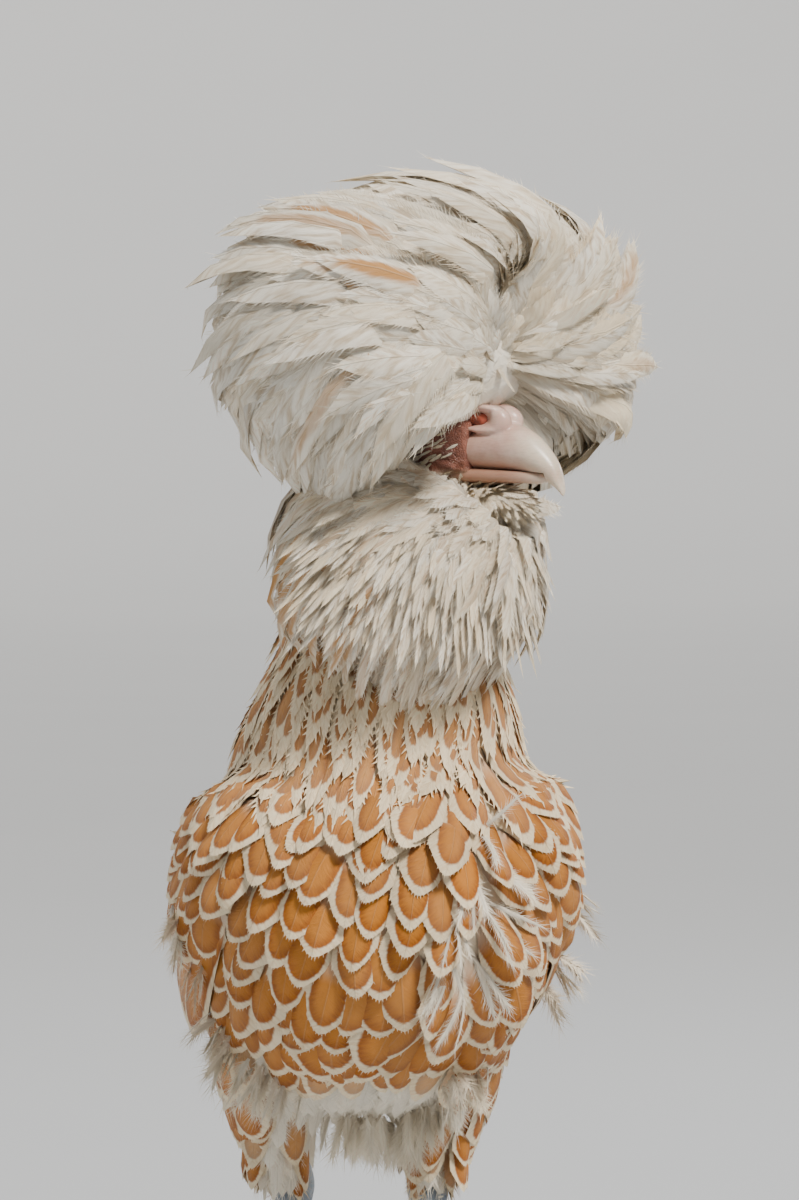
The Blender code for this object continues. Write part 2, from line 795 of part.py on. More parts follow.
def tail_feather(side, order, length, width):
    """One tail feather of a leaf, the top one first, each further out and lower."""
    aside, rear = in_body(1, 0, 0) - in_body(0, 0, 0), in_body(0, 1, 0) - in_body(0, 0, 0)
    share = order / (TAIL_MAIN - 1)
    lift = math.radians(blend(40.0, 14.0, share))
    spread = math.radians(blend(2.0, 15.0, share))
    out = aside * side
    along = rear * math.cos(lift) + Vector((0, 0, math.sin(lift)))
    heading = along * math.cos(spread) + out * math.sin(spread)
    start = in_body(side * (0.0012 + 0.0019 * order), 0.0660, 0.1590 - 0.0024 * order)
    tip = start + heading * length * (1.0 - 0.12 * share)
    bend = start + heading * length * 0.5 + Vector((0, 0, 0.004)) + out * 0.001
    path = bent_path(start, bend, tip, len(SHORT_SHAPE))
    outward = (out * 0.90 + Vector((0, 0, 0.42))).normalized()
    widths = feather_widths(width, SHORT_SHAPE)
    return vane(path, [outward] * len(path), widths, QUILL_THICKNESS)


def make_tail(cutters):
    """The folded tail: two leaves of main feathers, with coverts laid between their roots."""
    _, _, left = body_axes()
    stump = []
    for behind, height, half_width, half_height in (
        (0.0560, 0.1480, 0.0110, 0.0090),
        (0.0680, 0.1530, 0.0150, 0.0125),
        (0.0800, 0.1570, 0.0145, 0.0120),
        (0.0920, 0.1600, 0.0110, 0.0090),
        (0.1000, 0.1620, 0.0040, 0.0035),
    ):
        stump.append((in_body(0.0, behind, height), half_width, half_height))
    pieces = [Form(stump, left, (0, 0, 1)).solid(5, 10)]
    for side in (-1, 1):
        for i in range(TAIL_MAIN):
            pieces.append(tail_feather(side, i, TAIL_LENGTH, 0.0190))
        for i in range(TAIL_MAIN - 2):
            pieces.append(tail_feather(side, i + 0.5, TAIL_COVERT_LENGTH, 0.0180))
    finish = material("tail_feather", PLUMAGE_BUFF, 0.8)
    return fuse("tail", pieces, finish, cutters)


def thigh_form(side):
    """The feathered thigh, from the flank down to the hock."""
    hock = hock_place(side)
    stations = (
        (in_body(side * 0.0260, 0.0000, 0.1400), 0.0150, 0.0230),
        (in_body(side * 0.0260, 0.0040, 0.1250), 0.0160, 0.0240),
        (blend(in_body(side * 0.0250, 0.0120, 0.1080), hock, 0.1), 0.0148, 0.0195),
        (blend(in_body(side * 0.0240, 0.0200, 0.0980), hock, 0.5), 0.0108, 0.0130),
        (hock + Vector((0.0, 0.0, 0.0030)), 0.0070, 0.0076),
    )
    return Form(stations, (1, 0, 0), (0, -1, 0))


def hock_place(side):
    return Vector((STANCE_X + side * 0.0195, FOOT_Y + 0.0280, HOCK_HEIGHT))


def foot_place(side, height):
    return Vector((STANCE_X + side * FOOT_SPREAD, FOOT_Y, height))


def shank_form(side):
    """The bare shank, from the hock joint down to the ball of the foot."""
    hock = hock_place(side)
    shape = (
        (-0.12, 0.0050, 0.0054),
        (0.05, 0.0062, 0.0066),
        (0.16, 0.0052, 0.0058),
        (0.40, 0.0042, 0.0046),
        (0.70, 0.0042, 0.0044),
        (0.90, 0.0050, 0.0052),
        (1.00, 0.0046, 0.0048),
    )
    stations = [(blend(hock, foot_place(side, 0.0100), s), w, d) for s, w, d in shape]
    return Form(stations, (1, 0, 0), (0, -1, 0))


TOES = (
    ("inner", 26.0, 0.0370),
    ("middle", -4.0, 0.0480),
    ("outer", -34.0, 0.0380),
    ("hind", 196.0, 0.0190),
)


def toe_line(side, turn, length):
    """Start, direction and length of a toe on the floor, turned from straight ahead."""
    start = foot_place(side, 0.0)
    angle = math.radians(turn)
    heading = Vector((-side * math.sin(angle), -math.cos(angle), 0.0))
    return start, heading, length


def toe_radius(share):
    """Half width of a toe at a share of its length, swelling at each pad."""
    return TOE_RADIUS * (1.0 - 0.34 * share) * (1.0 + 0.10 * math.sin(share * 3.0 * 2.0 * math.pi))


def toe_form(side, turn, length):
    start, heading, length = toe_line(side, turn, length)
    across = heading.cross(Vector((0, 0, 1)))
    stations = []
    for i in range(9):
        share = i / 8
        radius = toe_radius(share)
        arch = 0.0022 * (1.0 - share) ** 2
        centre = start + heading * length * share
        centre.z = radius - SOLE_CUT + arch
        stations.append((centre, radius, radius + arch * 0.6))
    return Form(stations, across, (0, 0, 1))


def floor_block():
    """What lies under the floor, cut off the soles to leave small flats."""
    bm = bmesh.new()
    bmesh.ops.create_cube(bm, size=0.4)
    bmesh.ops.translate(bm, vec=(0, 0, -0.2), verts=bm.verts)
    bmesh.ops.triangulate(bm, faces=bm.faces[:])
    mesh = bpy.data.meshes.new("floor")
    bm.to_mesh(mesh)
    bm.free()
    return mesh


def make_foot(side, word, cutters):
    """Four toes on one pad, flat underneath."""
    pieces = []
    centre = foot_place(side, 0.0058)
    axes = ((1, 0, 0), (0, 1, 0), (0, 0, 1))
    pieces.append(ball(centre, (0.0070, 0.0074, 0.0068), axes, 12, 7))
    for _, turn, length in TOES:
        pieces.append(toe_form(side, turn, length).solid(6, 7))
    finish = material("shank_scale", SHANK_SLATE, 0.55)
    fuse("foot_" + word, pieces, finish, [*cutters, floor_block()])


CLAW_RADII = ((0.0, 0.0019), (0.3, 0.0019), (0.6, 0.0014), (0.85, 0.0008), (1.0, 0.0003))


def make_claw(side, word, toe, turn, length):
    """A curved claw that meets the end of its toe."""
    start, heading, length = toe_line(side, turn, length)
    across = heading.cross(Vector((0, 0, 1)))
    end = start + heading * (length + GAP)
    claw_length = 0.0085 if toe != "hind" else 0.0070
    height = toe_radius(1.0) - SOLE_CUT + 0.0006
    stations = []
    for share, radius in CLAW_RADII:
        centre = end + heading * claw_length * share
        centre.z = height + 0.0010 * math.sin(share * math.pi) - 0.0014 * share * share
        stations.append((centre, radius * 0.8, radius))
    mesh = Form(stations, across, (0, 0, 1)).solid(4, 6)
    add_object(f"claw_{word}_{toe}", mesh, material("claw", CLAW_HORN, 0.4))


def grown(form, steps, sides):
    """A neighbour's cutter: its form grown by the gap that touching nodes keep."""
    return form.solid(steps, sides, GAP)


def crest_and_beard_blade():
    """A thin dished sheet between the crest above and the beard below."""
    bm = bmesh.new()
    rings = []
    around = 24
    shape = ((0.004, 0.0), (0.030, -0.004), (0.060, -0.012), (0.100, -0.026))
    centre = on_head(0.004, 0.0, -0.0085)
    layers = [(radius, drop, 0.0) for radius, drop in shape]
    layers += [(radius, drop, 0.0006) for radius, drop in reversed(shape)]
    for radius, drop, raised in layers:
        ring = []
        for i in range(around):
            angle = 2.0 * math.pi * i / around
            spoke = Vector((math.cos(angle), math.sin(angle), 0)) * radius
            ring.append(bm.verts.new(centre + spoke + Vector((0, 0, drop + raised))))
        rings.append(ring)
    return closed_loops(bm, rings)


def make_hen():
    torso, neck, head = torso_form(), neck_form(), head_form()
    make_torso()
    make_head()
    make_bill()
    make_comb()
    bill = [grown(upper_bill_form(), 12, 12), grown(lower_bill_form(), 8, 10)]
    skull = [grown(head, 8, 16)]
    for side in (-1, 1):
        skull.append(eye_ball(side, 0.0020))
        lobe = on_head(-0.0110, side * 0.0140, -0.0075)
        skull.append(ball(lobe, (0.0042 + GAP, 0.0018 + GAP, 0.0056 + GAP), head_axes(), 8, 5))
    blade = crest_and_beard_blade()
    make_neck([grown(torso, 15, 26), *[m.copy() for m in skull]])
    about = [*skull, *bill, blade]
    make_crest([*[m.copy() for m in about], grown(neck, 11, 20)])
    make_beard([*[m.copy() for m in about], grown(neck, 11, 20)])
    make_tail([grown(torso, 15, 26)])
    for side, word in ((-1, "right"), (1, "left")):
        make_wing(side, word, [grown(torso, 15, 26)])
        thigh = thigh_form(side)
        fuse("thigh_" + word, [thigh.solid(8, 14)], material("thigh_feather", PLUMAGE_BUFF, 0.8),
             [grown(torso, 15, 26)])
        shank = shank_form(side)
        fuse("shank_" + word, [shank.solid(10, 10)], material("shank_scale", SHANK_SLATE, 0.55),
             [grown(thigh, 8, 14)])
        make_foot(side, word, [grown(shank, 10, 10)])
        for toe, turn, length in TOES:
            make_claw(side, word, toe, turn, length)


def clear_scene():
    for old in list(bpy.data.objects):
        bpy.data.objects.remove(old)


def place_in_frame():
    """Moves every node so that the origin is the bottom centre of the hen's box."""
    for node in bpy.context.scene.objects:
        node.data.transform(Matrix.Translation((-ORIGIN_X, -ORIGIN_Y, 0.0)))
        node.data.update()


clear_scene()
make_hen()
place_in_frame()
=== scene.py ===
"""The finish of a crested, bearded hen: skin, plumage feather by feather, bill, eyes and legs.

Metres, +Z up, the floor at z = 0. The breast faces -Y and the hen's left side is +X.
"""

import math
import random
from itertools import product
from typing import NamedTuple

import bmesh
import bpy
import numpy as np
from bpy.props import FloatProperty, FloatVectorProperty, IntProperty, PointerProperty
from mathutils import Matrix, Vector, noise
from mathutils.bvhtree import BVHTree


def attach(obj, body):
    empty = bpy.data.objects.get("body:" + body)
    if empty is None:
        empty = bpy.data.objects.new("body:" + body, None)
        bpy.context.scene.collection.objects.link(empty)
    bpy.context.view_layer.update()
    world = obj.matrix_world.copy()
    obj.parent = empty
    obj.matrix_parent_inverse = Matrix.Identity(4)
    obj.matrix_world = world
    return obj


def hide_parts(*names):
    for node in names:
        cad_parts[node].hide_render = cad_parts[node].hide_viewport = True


bl_info = {
    "name": "Crested hen",
    "version": (1, 0, 0),
    "blender": (4, 5, 0),
    "location": "View3D > Sidebar > Crested hen",
    "description": "Dresses the solids of a crested, bearded hen with skin, feathers, horn and scales",
    "category": "Object",
}

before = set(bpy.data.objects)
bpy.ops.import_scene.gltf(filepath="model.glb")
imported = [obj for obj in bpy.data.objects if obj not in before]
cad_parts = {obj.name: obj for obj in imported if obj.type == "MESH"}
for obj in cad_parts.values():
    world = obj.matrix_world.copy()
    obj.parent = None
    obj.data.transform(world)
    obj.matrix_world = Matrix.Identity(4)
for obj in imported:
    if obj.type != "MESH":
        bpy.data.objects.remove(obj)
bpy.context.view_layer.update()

ORIGIN = Vector((0.0100, 0.0337, 0.0))

BODY_PITCH = math.radians(30.0)
BODY_YAW = math.radians(10.0)
BODY_CENTRE = Vector((0.0, 0.018, 0.158)) - ORIGIN
BODY_SQUARENESS = 2.25

HEAD_CENTRE = Vector((0.0092, -0.0338, 0.3000)) - ORIGIN
HEAD_YAW = math.radians(58.0)
HEAD_DIP = math.radians(3.0)

EYE_RADIUS = 0.0062
EYE_FORWARD = 0.0060
EYE_OUT = 0.0102
EYE_HEIGHT = 0.0025

CREST_AT = (0.0085, 0.0215)
CREST_RADIUS = 0.0610
CREST_RISE = 0.0480
CREST_PARTING = 0.46
PARTING_TURN = -14.0
CREST_CORE = (0.0330, 0.0350, 0.0270)
CREST_CORE_AT = (0.0050, 0.0240)

CROWN = (0.0340, 0.0340, 0.0260)
CROWN_AT = (-0.0060, 0.0320)

BEARD_AT = (0.0045, -0.0380)
BEARD_RADIUS = 0.0395
BEARD_DROP = 0.0400
BEARD_CORE = (0.0255, 0.0235, 0.0235)
BEARD_CORE_AT = (0.0090, -0.0360)

CHIN = (0.0150, 0.0056, 0.0026)
CHIN_AT = (0.0260, -0.0178)
JAW_DOWN = (0.0110, 0.0090, 0.0050)
JAW_DOWN_AT = (0.0215, -0.0270)

HOCK_HEIGHT = 0.0820
STANCE_X = -0.0015
FOOT_Y = 0.0230
FOOT_SPREAD = 0.0215
HOCK_SPREAD = 0.0195
HOCK_BEHIND = 0.0280
TOE_RADIUS = 0.0042
TOE_PLATE = 0.0034
SOLE_CUT = 0.0011
TOES = (
    ("inner", 26.0, 0.0370),
    ("middle", -4.0, 0.0480),
    ("outer", -34.0, 0.0380),
    ("hind", 196.0, 0.0190),
)

COAT_FOOT = 0.0835
COAT_TOP = 0.287
THIGH_TOP = 0.116
NECK_FOOT = 0.205
NECK_MIDDLE = (-0.006, -0.052)
ROOT_DEPTH = 0.0046

ROOT_SHARE = 0.30
CREST_SOURCE_GAP = math.radians(21.0)
BEARD_SOURCE_GAP = math.radians(24.0)

TUFT_PATCH = 0.003
UNWRAP_WIDTH = 0.96

SIDES = ((-1, "right"), (1, "left"))
SEED = 7
STATIONS = 7
SHARES = tuple(i / (STATIONS - 1) for i in range(STATIONS))
UP = Vector((0.0, 0.0, 1.0))


def blend(a, b, share):
    return a + (b - a) * share


def eased(value, low, high):
    """0 below low, 1 above high, and smooth between."""
    share = min(max((value - low) / (high - low), 0.0), 1.0)
    return share * share * (3.0 - 2.0 * share)


def bump(value, middle, reach):
    """1 at the middle, falling away smoothly on both sides."""
    return math.exp(-(((value - middle) / reach) ** 2))


def smooth_between(values, place):
    """A Catmull-Rom curve through values, read at place from 0 to 1."""
    spans = len(values) - 1
    position = min(max(place, 0.0), 1.0) * spans
    i = min(int(position), spans - 1)
    t = position - i
    before = values[max(i - 1, 0)]
    start, end = values[i], values[i + 1]
    after = values[min(i + 2, spans)]
    return 0.5 * (
        start * 2.0
        + (end - before) * t
        + (before * 2.0 - start * 5.0 + end * 4.0 - after) * t * t
        + (start * 3.0 - before - end * 3.0 + after) * t * t * t
    )


class Form:
    """A rounded body whose rings share one side direction and one up direction."""

    def __init__(self, stations, side, up, squareness=2.0):
        self.centres = [Vector(s[0]) for s in stations]
        self.widths = [s[1] for s in stations]
        self.heights = [s[2] for s in stations]
        self.side = Vector(side).normalized()
        self.up = Vector(up).normalized()
        self.power = 2.0 / squareness

    def on_ring(self, along, angle):
        """The point at an angle from the up direction, turning towards the side direction."""
        centre = smooth_between(self.centres, along)
        c, s = math.cos(angle), math.sin(angle)
        rise = smooth_between(self.heights, along) * math.copysign(abs(c) ** self.power, c)
        reach = smooth_between(self.widths, along) * math.copysign(abs(s) ** self.power, s)
        return centre + self.up * rise + self.side * reach

    def normal(self, along, angle):
        step = 0.02
        ahead = self.on_ring(min(along + step, 1.0), angle)
        behind = self.on_ring(max(along - step, 0.0), angle)
        turned = self.on_ring(along, angle + step) - self.on_ring(along, angle - step)
        found = (ahead - behind).cross(turned)
        outward = self.on_ring(along, angle) - smooth_between(self.centres, along)
        return (found if found.dot(outward) > 0 else -found).normalized()

    def over(self, along, angle, lift):
        """The point that stands lift above the surface."""
        return self.on_ring(along, angle) + self.normal(along, angle) * lift

    def loft(self, bm, steps, sides):
        """Adds this form to a bmesh: rings of vertices bridged end to end, both ends closed."""
        rings = []
        for i in range(steps + 1):
            made = bmesh.ops.create_circle(bm, segments=sides, radius=1.0)["verts"]
            for j, corner in enumerate(made):
                corner.co = self.on_ring(i / steps, 2.0 * math.pi * j / sides)
            rings.append(made)
        bridge(bm, rings)
        for end in (rings[0], rings[-1]):
            bmesh.ops.contextual_create(bm, geom=end)


def ring_edges(ring):
    """The edges that join the vertices of one ring."""
    inside = set(ring)
    return {e for v in ring for e in v.link_edges if e.verts[0] in inside and e.verts[1] in inside}


def bridge(bm, rings):
    """Joins each ring of vertices to the next one with faces."""
    for near, far in zip(rings, rings[1:]):
        bmesh.ops.bridge_loops(bm, edges=[e for ring in (near, far) for e in ring_edges(ring)])


def level_axes():
    """The level directions to the body's left and to its rear."""
    c, s = math.cos(BODY_YAW), math.sin(BODY_YAW)
    return Vector((c, s, 0.0)), Vector((-s, c, 0.0))


def body_axes():
    """The body's forward direction, up towards the shoulders, its back and its left."""
    left, rear = level_axes()
    c, s = math.cos(BODY_PITCH), math.sin(BODY_PITCH)
    return UP * s - rear * c, UP * c + rear * s, left


def in_body(left, behind, height):
    """A place measured level from the body's middle line, height from the floor."""
    aside, rear = level_axes()
    return Vector((BODY_CENTRE.x, BODY_CENTRE.y, height)) + aside * left + rear * behind


def torso_form():
    """Distance forward, rise of the ring, half width and half height, rump to breast."""
    forward, back, left = body_axes()
    shape = (
        (-0.102, 0.031, 0.006, 0.006),
        (-0.095, 0.028, 0.017, 0.016),
        (-0.078, 0.020, 0.030, 0.031),
        (-0.050, 0.008, 0.041, 0.046),
        (-0.016, 0.001, 0.0475, 0.053),
        (0.018, -0.001, 0.0500, 0.055),
        (0.048, -0.002, 0.0475, 0.049),
        (0.070, -0.003, 0.037, 0.036),
        (0.083, -0.004, 0.021, 0.021),
        (0.088, -0.004, 0.008, 0.008),
    )
    stations = [
        (BODY_CENTRE + forward * d + back * rise, half_width, half_height)
        for d, rise, half_width, half_height in shape
    ]
    return Form(stations, left, back, BODY_SQUARENESS)


def head_axes():
    """Forward along the bill, out to the hen's left, and up through the crown."""
    level = Vector((math.sin(HEAD_YAW), -math.cos(HEAD_YAW), 0.0))
    forward = level * math.cos(HEAD_DIP) - UP * math.sin(HEAD_DIP)
    left = Vector((math.cos(HEAD_YAW), math.sin(HEAD_YAW), 0.0))
    return forward, left, forward.cross(left)


def on_head(forward, left, up):
    """A place measured from the middle of the skull."""
    ahead, aside, above = head_axes()
    return HEAD_CENTRE + ahead * forward + aside * left + above * up


def off_head(place):
    """How far a place is forward, left and up from the middle of the skull."""
    ahead, aside, above = head_axes()
    away = place - HEAD_CENTRE
    return away.dot(ahead), away.dot(aside), away.dot(above)


def head_way(turn, rise):
    """A direction in degrees: a turn from the bill towards the hen's left, and a rise."""
    ahead, aside, above = head_axes()
    t, r = math.radians(turn), math.radians(rise)
    return (ahead * math.cos(t) + aside * math.sin(t)) * math.cos(r) + above * math.sin(r)


def way_angles(way):
    """A direction's turn from the bill towards the hen's left, and its rise, in degrees."""
    ahead, aside, above = head_axes()
    turn = math.degrees(math.atan2(way.dot(aside), way.dot(ahead)))
    return turn, math.degrees(math.asin(max(min(way.dot(above), 1.0), -1.0)))


class Tone:
    """A shader value that takes part in Python expressions by adding Math nodes."""

    def __init__(self, finish, socket):
        self.finish = finish
        self.socket = socket

    def math(self, operation, *values):
        return self.finish.node("ShaderNodeMath", {"operation": operation}, dict(enumerate(values)))

    def __add__(self, other):
        return self.math("ADD", self, other)

    __radd__ = __add__

    def __sub__(self, other):
        return self.math("SUBTRACT", self, other)

    def __rsub__(self, other):
        return self.math("SUBTRACT", other, self)

    def __mul__(self, other):
        return self.math("MULTIPLY", self, other)

    __rmul__ = __mul__

    def __truediv__(self, other):
        return self.math("DIVIDE", self, other)

    def __pow__(self, other):
        return self.math("POWER", self, other)

    def __abs__(self):
        return self.math("ABSOLUTE", self)

    def step(self, low, high):
        """0 below low and 1 above high, smooth between."""
        settings = {"interpolation_type": "SMOOTHSTEP"}
        return self.finish.node("ShaderNodeMapRange", settings, {0: self, 1: low, 2: high})

    def most(self, other):
        return self.math("MAXIMUM", self, other)


class Finish:
    """A material under construction on one Principled BSDF."""

    def __init__(self, name, roughness, **constants):
        self.material = bpy.data.materials.new(name)
        self.material.use_nodes = True
        self.tree = self.material.node_tree
        self.shader = self.tree.nodes["Principled BSDF"]
        self.shader.inputs["Roughness"].default_value = roughness
        for socket, value in constants.items():
            self.shader.inputs[socket.replace("_", " ")].default_value = value

    def node(self, kind, settings=None, inputs=None, output=0):
        """Adds a node, sets it up, feeds its sockets and returns one output as a Tone."""
        made = self.tree.nodes.new(kind)
        for key, value in (settings or {}).items():
            setattr(made, key, value)
        for key, value in (inputs or {}).items():
            self.feed(made.inputs[key], value)
        return Tone(self, made.outputs[output])

    def feed(self, socket, value):
        if isinstance(value, Tone):
            self.tree.links.new(value.socket, socket)
        elif socket.type == "RGBA":
            socket.default_value = (*value[:3], 1.0)
        else:
            socket.default_value = value

    def paint(self, socket, value):
        self.feed(self.shader.inputs[socket], value)

    def place(self):
        return self.node("ShaderNodeTexCoord", output="Object")

    def attribute(self, name, output="Color"):
        return self.node("ShaderNodeAttribute", {"attribute_name": name}, output=output)

    def parts(self, vector):
        """The three numbers of a vector or a colour."""
        split = self.node("ShaderNodeSeparateXYZ", None, {0: vector}).socket.node
        return [Tone(self, out) for out in split.outputs]

    def joined(self, x, y, z):
        return self.node("ShaderNodeCombineXYZ", None, {0: x, 1: y, 2: z})

    def mix(self, share, first, second):
        """A colour between two colours."""
        inputs = {"Factor": share, 6: first, 7: second}
        return self.node("ShaderNodeMix", {"data_type": "RGBA"}, inputs, output=2)

    def grain(self, where, scale, detail=2.0, distortion=0.0):
        inputs = {"Vector": where, "Scale": scale, "Detail": detail, "Distortion": distortion}
        return self.node("ShaderNodeTexNoise", None, inputs)

    def cells(self, where, scale):
        """How far each place is from the nearest seam between small cells."""
        inputs = {"Vector": where, "Scale": scale}
        return self.node("ShaderNodeTexVoronoi", {"feature": "DISTANCE_TO_EDGE"}, inputs)

    def raised(self, height, strength, distance):
        """Feeds a height to the shader's normal."""
        inputs = {"Height": height, "Strength": strength, "Distance": distance}
        self.paint("Normal", self.node("ShaderNodeBump", None, inputs))


def feather_finish(name, settings, silky, root_reach=0.40):
    """Feather colours laid over each feather's own length and width, with shade painted
    between the barbs, toward each feather's base and at its edges.

    The tint attribute holds, for each feather, how buff its middle is, how broad its
    pale lacing is, and how light it is as a whole.
    """
    finish = Finish(name, 0.62 if silky else 0.55, Specular_IOR_Level=0.22)
    across, along, _ = finish.parts(finish.node("ShaderNodeUVMap", {"uv_map": "Feather"}))
    buff, lacing, light = finish.parts(finish.attribute("tint"))
    aside = abs(across * 2.0 - 1.0)
    barb = along * 60.0 - aside * 14.0
    draw = light * 37.0
    long_barb = finish.joined(across * 2.0 + draw, barb * (0.12 if silky else 0.2), draw)
    streak = finish.grain(long_barb, 2.2, 4.0)
    fine = finish.grain(finish.joined(across * 3.0, barb * 1.6, draw), 3.0, 2.0)
    # Streaks along the barbs; the darker colour between them is painted shade between the barbs.
    between = streak.step(0.30, 0.60)
    if silky:
        cream = finish.mix(between, settings.crest_painted_shade, settings.crest_white)
        warm = finish.grain(finish.joined(draw, draw, along * 0.5), 1.7, 1.0).step(0.35, 0.75)
        cream = finish.mix(warm * lacing, cream, settings.cream)
        reach = along * 2.6 - 1.75
        oval = (aside * aside * 1.8 + reach * reach + (streak - 0.5) * 0.5) ** 0.5
        centre = 1.0 - oval.step(0.35, 0.75)
        colour = finish.mix(centre * buff, cream, settings.crest_buff)
    else:
        # Painted shade of the pale lacing between the barbs.
        cream = finish.mix(between, settings.cream_mottle_and_painted_shade, settings.cream)
        reach = ((along - 0.57) / 0.43).most(0.0)
        oval = (aside * aside + reach * reach) ** 0.5 + (streak - 0.5) * 0.12
        edge = 1.0 - lacing
        centre = 1.0 - (oval - edge).step(-0.05, 0.05)
        rust = finish.mix(streak.step(0.2, 0.8), settings.buff, settings.buff_deep)
        pale = finish.mix((oval - edge + 0.45).step(0.0, 0.45), settings.buff_light, rust)
        white = (1.0 - buff).step(0.5, 0.95) * 0.75
        cream = finish.mix(white, cream, settings.crest_white)
        colour = finish.mix(centre * buff, cream, pale)
    # Downy roots in the down colour; where root_reach is long, as on crest and beard, this also paints shade
    # toward each feather's covered base.
    root = 1.0 - along.step(0.02, root_reach)
    colour = finish.mix(root * 0.70, colour, settings.down)
    shaft = 1.0 - aside.step(0.015, 0.05)
    colour = finish.mix(shaft * (0.20 if silky else 0.07), colour, settings.quill)
    # Painted shade: each feather is darker toward its edges (curve) and toward its base (along); the fine
    # grain and each feather's random lightness are its own tone.
    curve = 1.0 - aside * aside * (0.20 if silky else 0.08)
    least, spread = (0.68, 0.34) if silky else (0.74, 0.22)
    tone_and_painted_shade = (least + 0.20 * fine + light * spread + along * 0.10) * curve
    shaded = finish.node("ShaderNodeVectorMath", {"operation": "SCALE"}, {0: colour, 3: tone_and_painted_shade})
    finish.paint("Base Color", shaded)
    finish.raised(fine * 0.5 + streak * 0.8 + shaft * 0.5, 0.7, 0.0007)
    return finish.material


def skin_finish(settings):
    """Down-coloured under the coat, red-brown and lined where the face is bare."""
    finish = Finish("hen_skin", 0.6)
    place = finish.place()
    bare = finish.attribute("bare", "Fac")
    cells = finish.cells(place, 1500.0)
    mottle = finish.grain(place, 140.0, 4.0)
    folds = finish.grain(place, 420.0, 3.0, 0.6)
    down = finish.mix(mottle, settings.down, settings.cream_mottle_and_painted_shade)
    red = finish.mix(mottle.step(0.3, 0.7), settings.face_dark, settings.face_red)
    red = finish.mix((1.0 - cells.step(0.0, 0.12)) * 0.35, red, settings.face_dark)
    finish.paint("Base Color", finish.mix(bare, down, red))
    finish.paint("Roughness", 0.75 - bare * 0.30)
    finish.raised((cells.step(0.0, 0.25) * 0.5 + folds) * (0.3 + bare), 0.6, 0.0007)
    return finish.material


def horn_finish(name, settings, warm_rim):
    """Bill and claw horn: pink to ivory, with fine growth lines and a worn tip."""
    finish = Finish(name, 0.34, Subsurface_Weight=0.12, Subsurface_Scale=0.003, Coat_Roughness=0.25)
    place = finish.place()
    tip = finish.attribute("tip", "Fac")
    rim = finish.attribute("rim", "Fac")
    cloud = finish.grain(place, 160.0, 3.0, 0.4)
    level = finish.node("ShaderNodeMapping", None, {"Vector": place, "Scale": (1.0, 1.0, 4.0)})
    lines = finish.grain(level, 620.0, 3.0)
    colour = finish.mix(cloud.step(0.3, 0.7), settings.bill_pink, settings.bill_pale)
    colour = finish.mix(tip, colour, settings.bill_ivory)
    colour = finish.mix(rim * (1.0 - tip * 0.6) * warm_rim, colour, settings.bill_amber)
    colour = finish.mix((1.0 - lines.step(0.25, 0.6)) * 0.12, colour, settings.face_dark)
    finish.paint("Base Color", colour)
    finish.paint("Roughness", 0.26 + cloud * 0.18)
    finish.paint("Coat Weight", 0.15 + lines * 0.15)
    finish.raised(cloud * 0.5 + lines * 0.5, 0.25, 0.0004)
    return finish.material


def flesh_finish(name, colour, deep):
    """Soft wet flesh, such as nostril linings, comb and lobes."""
    finish = Finish(name, 0.42, Subsurface_Weight=0.2, Subsurface_Scale=0.002)
    place = finish.place()
    cloud = finish.grain(place, 260.0, 4.0, 0.3)
    pores = finish.node("ShaderNodeTexVoronoi", None, {"Vector": place, "Scale": 1500.0})
    finish.paint("Base Color", finish.mix(cloud.step(0.3, 0.7), deep, colour))
    finish.paint("Roughness", 0.32 + cloud * 0.25)
    finish.raised(pores * 0.6 + cloud, 0.4, 0.0005)
    return finish.material


def eye_finish(settings):
    """An orange-brown iris round a black pupil, wet all over."""
    finish = Finish("hen_eye", 0.08, Coat_Weight=0.8, Coat_Roughness=0.03)
    off = finish.attribute("iris", "Fac")
    rays = finish.grain(finish.place(), 900.0, 4.0)
    iris = finish.mix(rays.step(0.35, 0.65), settings.iris_deep, settings.iris)
    iris = finish.mix(off.step(0.72, 0.95), iris, settings.iris_deep)
    colour = finish.mix(off.step(0.40, 0.44), (0.004, 0.004, 0.005), iris)
    colour = finish.mix(off.step(0.96, 1.02), colour, settings.face_dark)
    finish.paint("Base Color", colour)
    return finish.material


def scale_finish(settings):
    """Slate-blue scales, paler at their edges and between them."""
    finish = Finish("leg_scales", 0.5)
    place = finish.place()
    plate = finish.attribute("plate", "Fac")
    cells = finish.cells(place, 620.0)
    cloud = finish.grain(place, 190.0, 4.0)
    colour = finish.mix(cloud.step(0.3, 0.7), settings.leg_slate, settings.leg_pale)
    colour = finish.mix(plate * 0.55, colour, settings.leg_pale)
    seam = (1.0 - cells.step(0.0, 0.10)) * (1.0 - plate)
    colour = finish.mix(seam * 0.6, colour, settings.leg_seam)
    finish.paint("Base Color", colour)
    finish.paint("Roughness", 0.40 + cloud * 0.25)
    finish.raised(cells.step(0.0, 0.2) * (1.0 - plate) + cloud * 0.3, 0.5, 0.0005)
    return finish.material


def floor_finish(settings):
    """A plain pale floor, hardly clouded."""
    finish = Finish("studio_floor", 0.8)
    cloud = finish.grain(finish.place(), 3.0, 2.0)
    finish.paint("Base Color", finish.mix(cloud * 0.15, settings.floor, (0.62, 0.62, 0.62)))
    return finish.material


def shown(name, mesh, material):
    """An object at the origin that shows the mesh, smoothly shaded."""
    mesh.name = name
    piece = bpy.data.objects.new(name, mesh)
    bpy.context.scene.collection.objects.link(piece)
    mesh.materials.clear()
    mesh.materials.append(material)
    mesh.polygons.foreach_set("use_smooth", [True] * len(mesh.polygons))
    return piece


def hen_piece(name, mesh, material, slot, *nodes):
    """A piece that the hen carries, in the place of its nodes. The slot is not used."""
    piece = shown(name, mesh, material)
    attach(piece, "root")
    if nodes:
        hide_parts(*nodes)


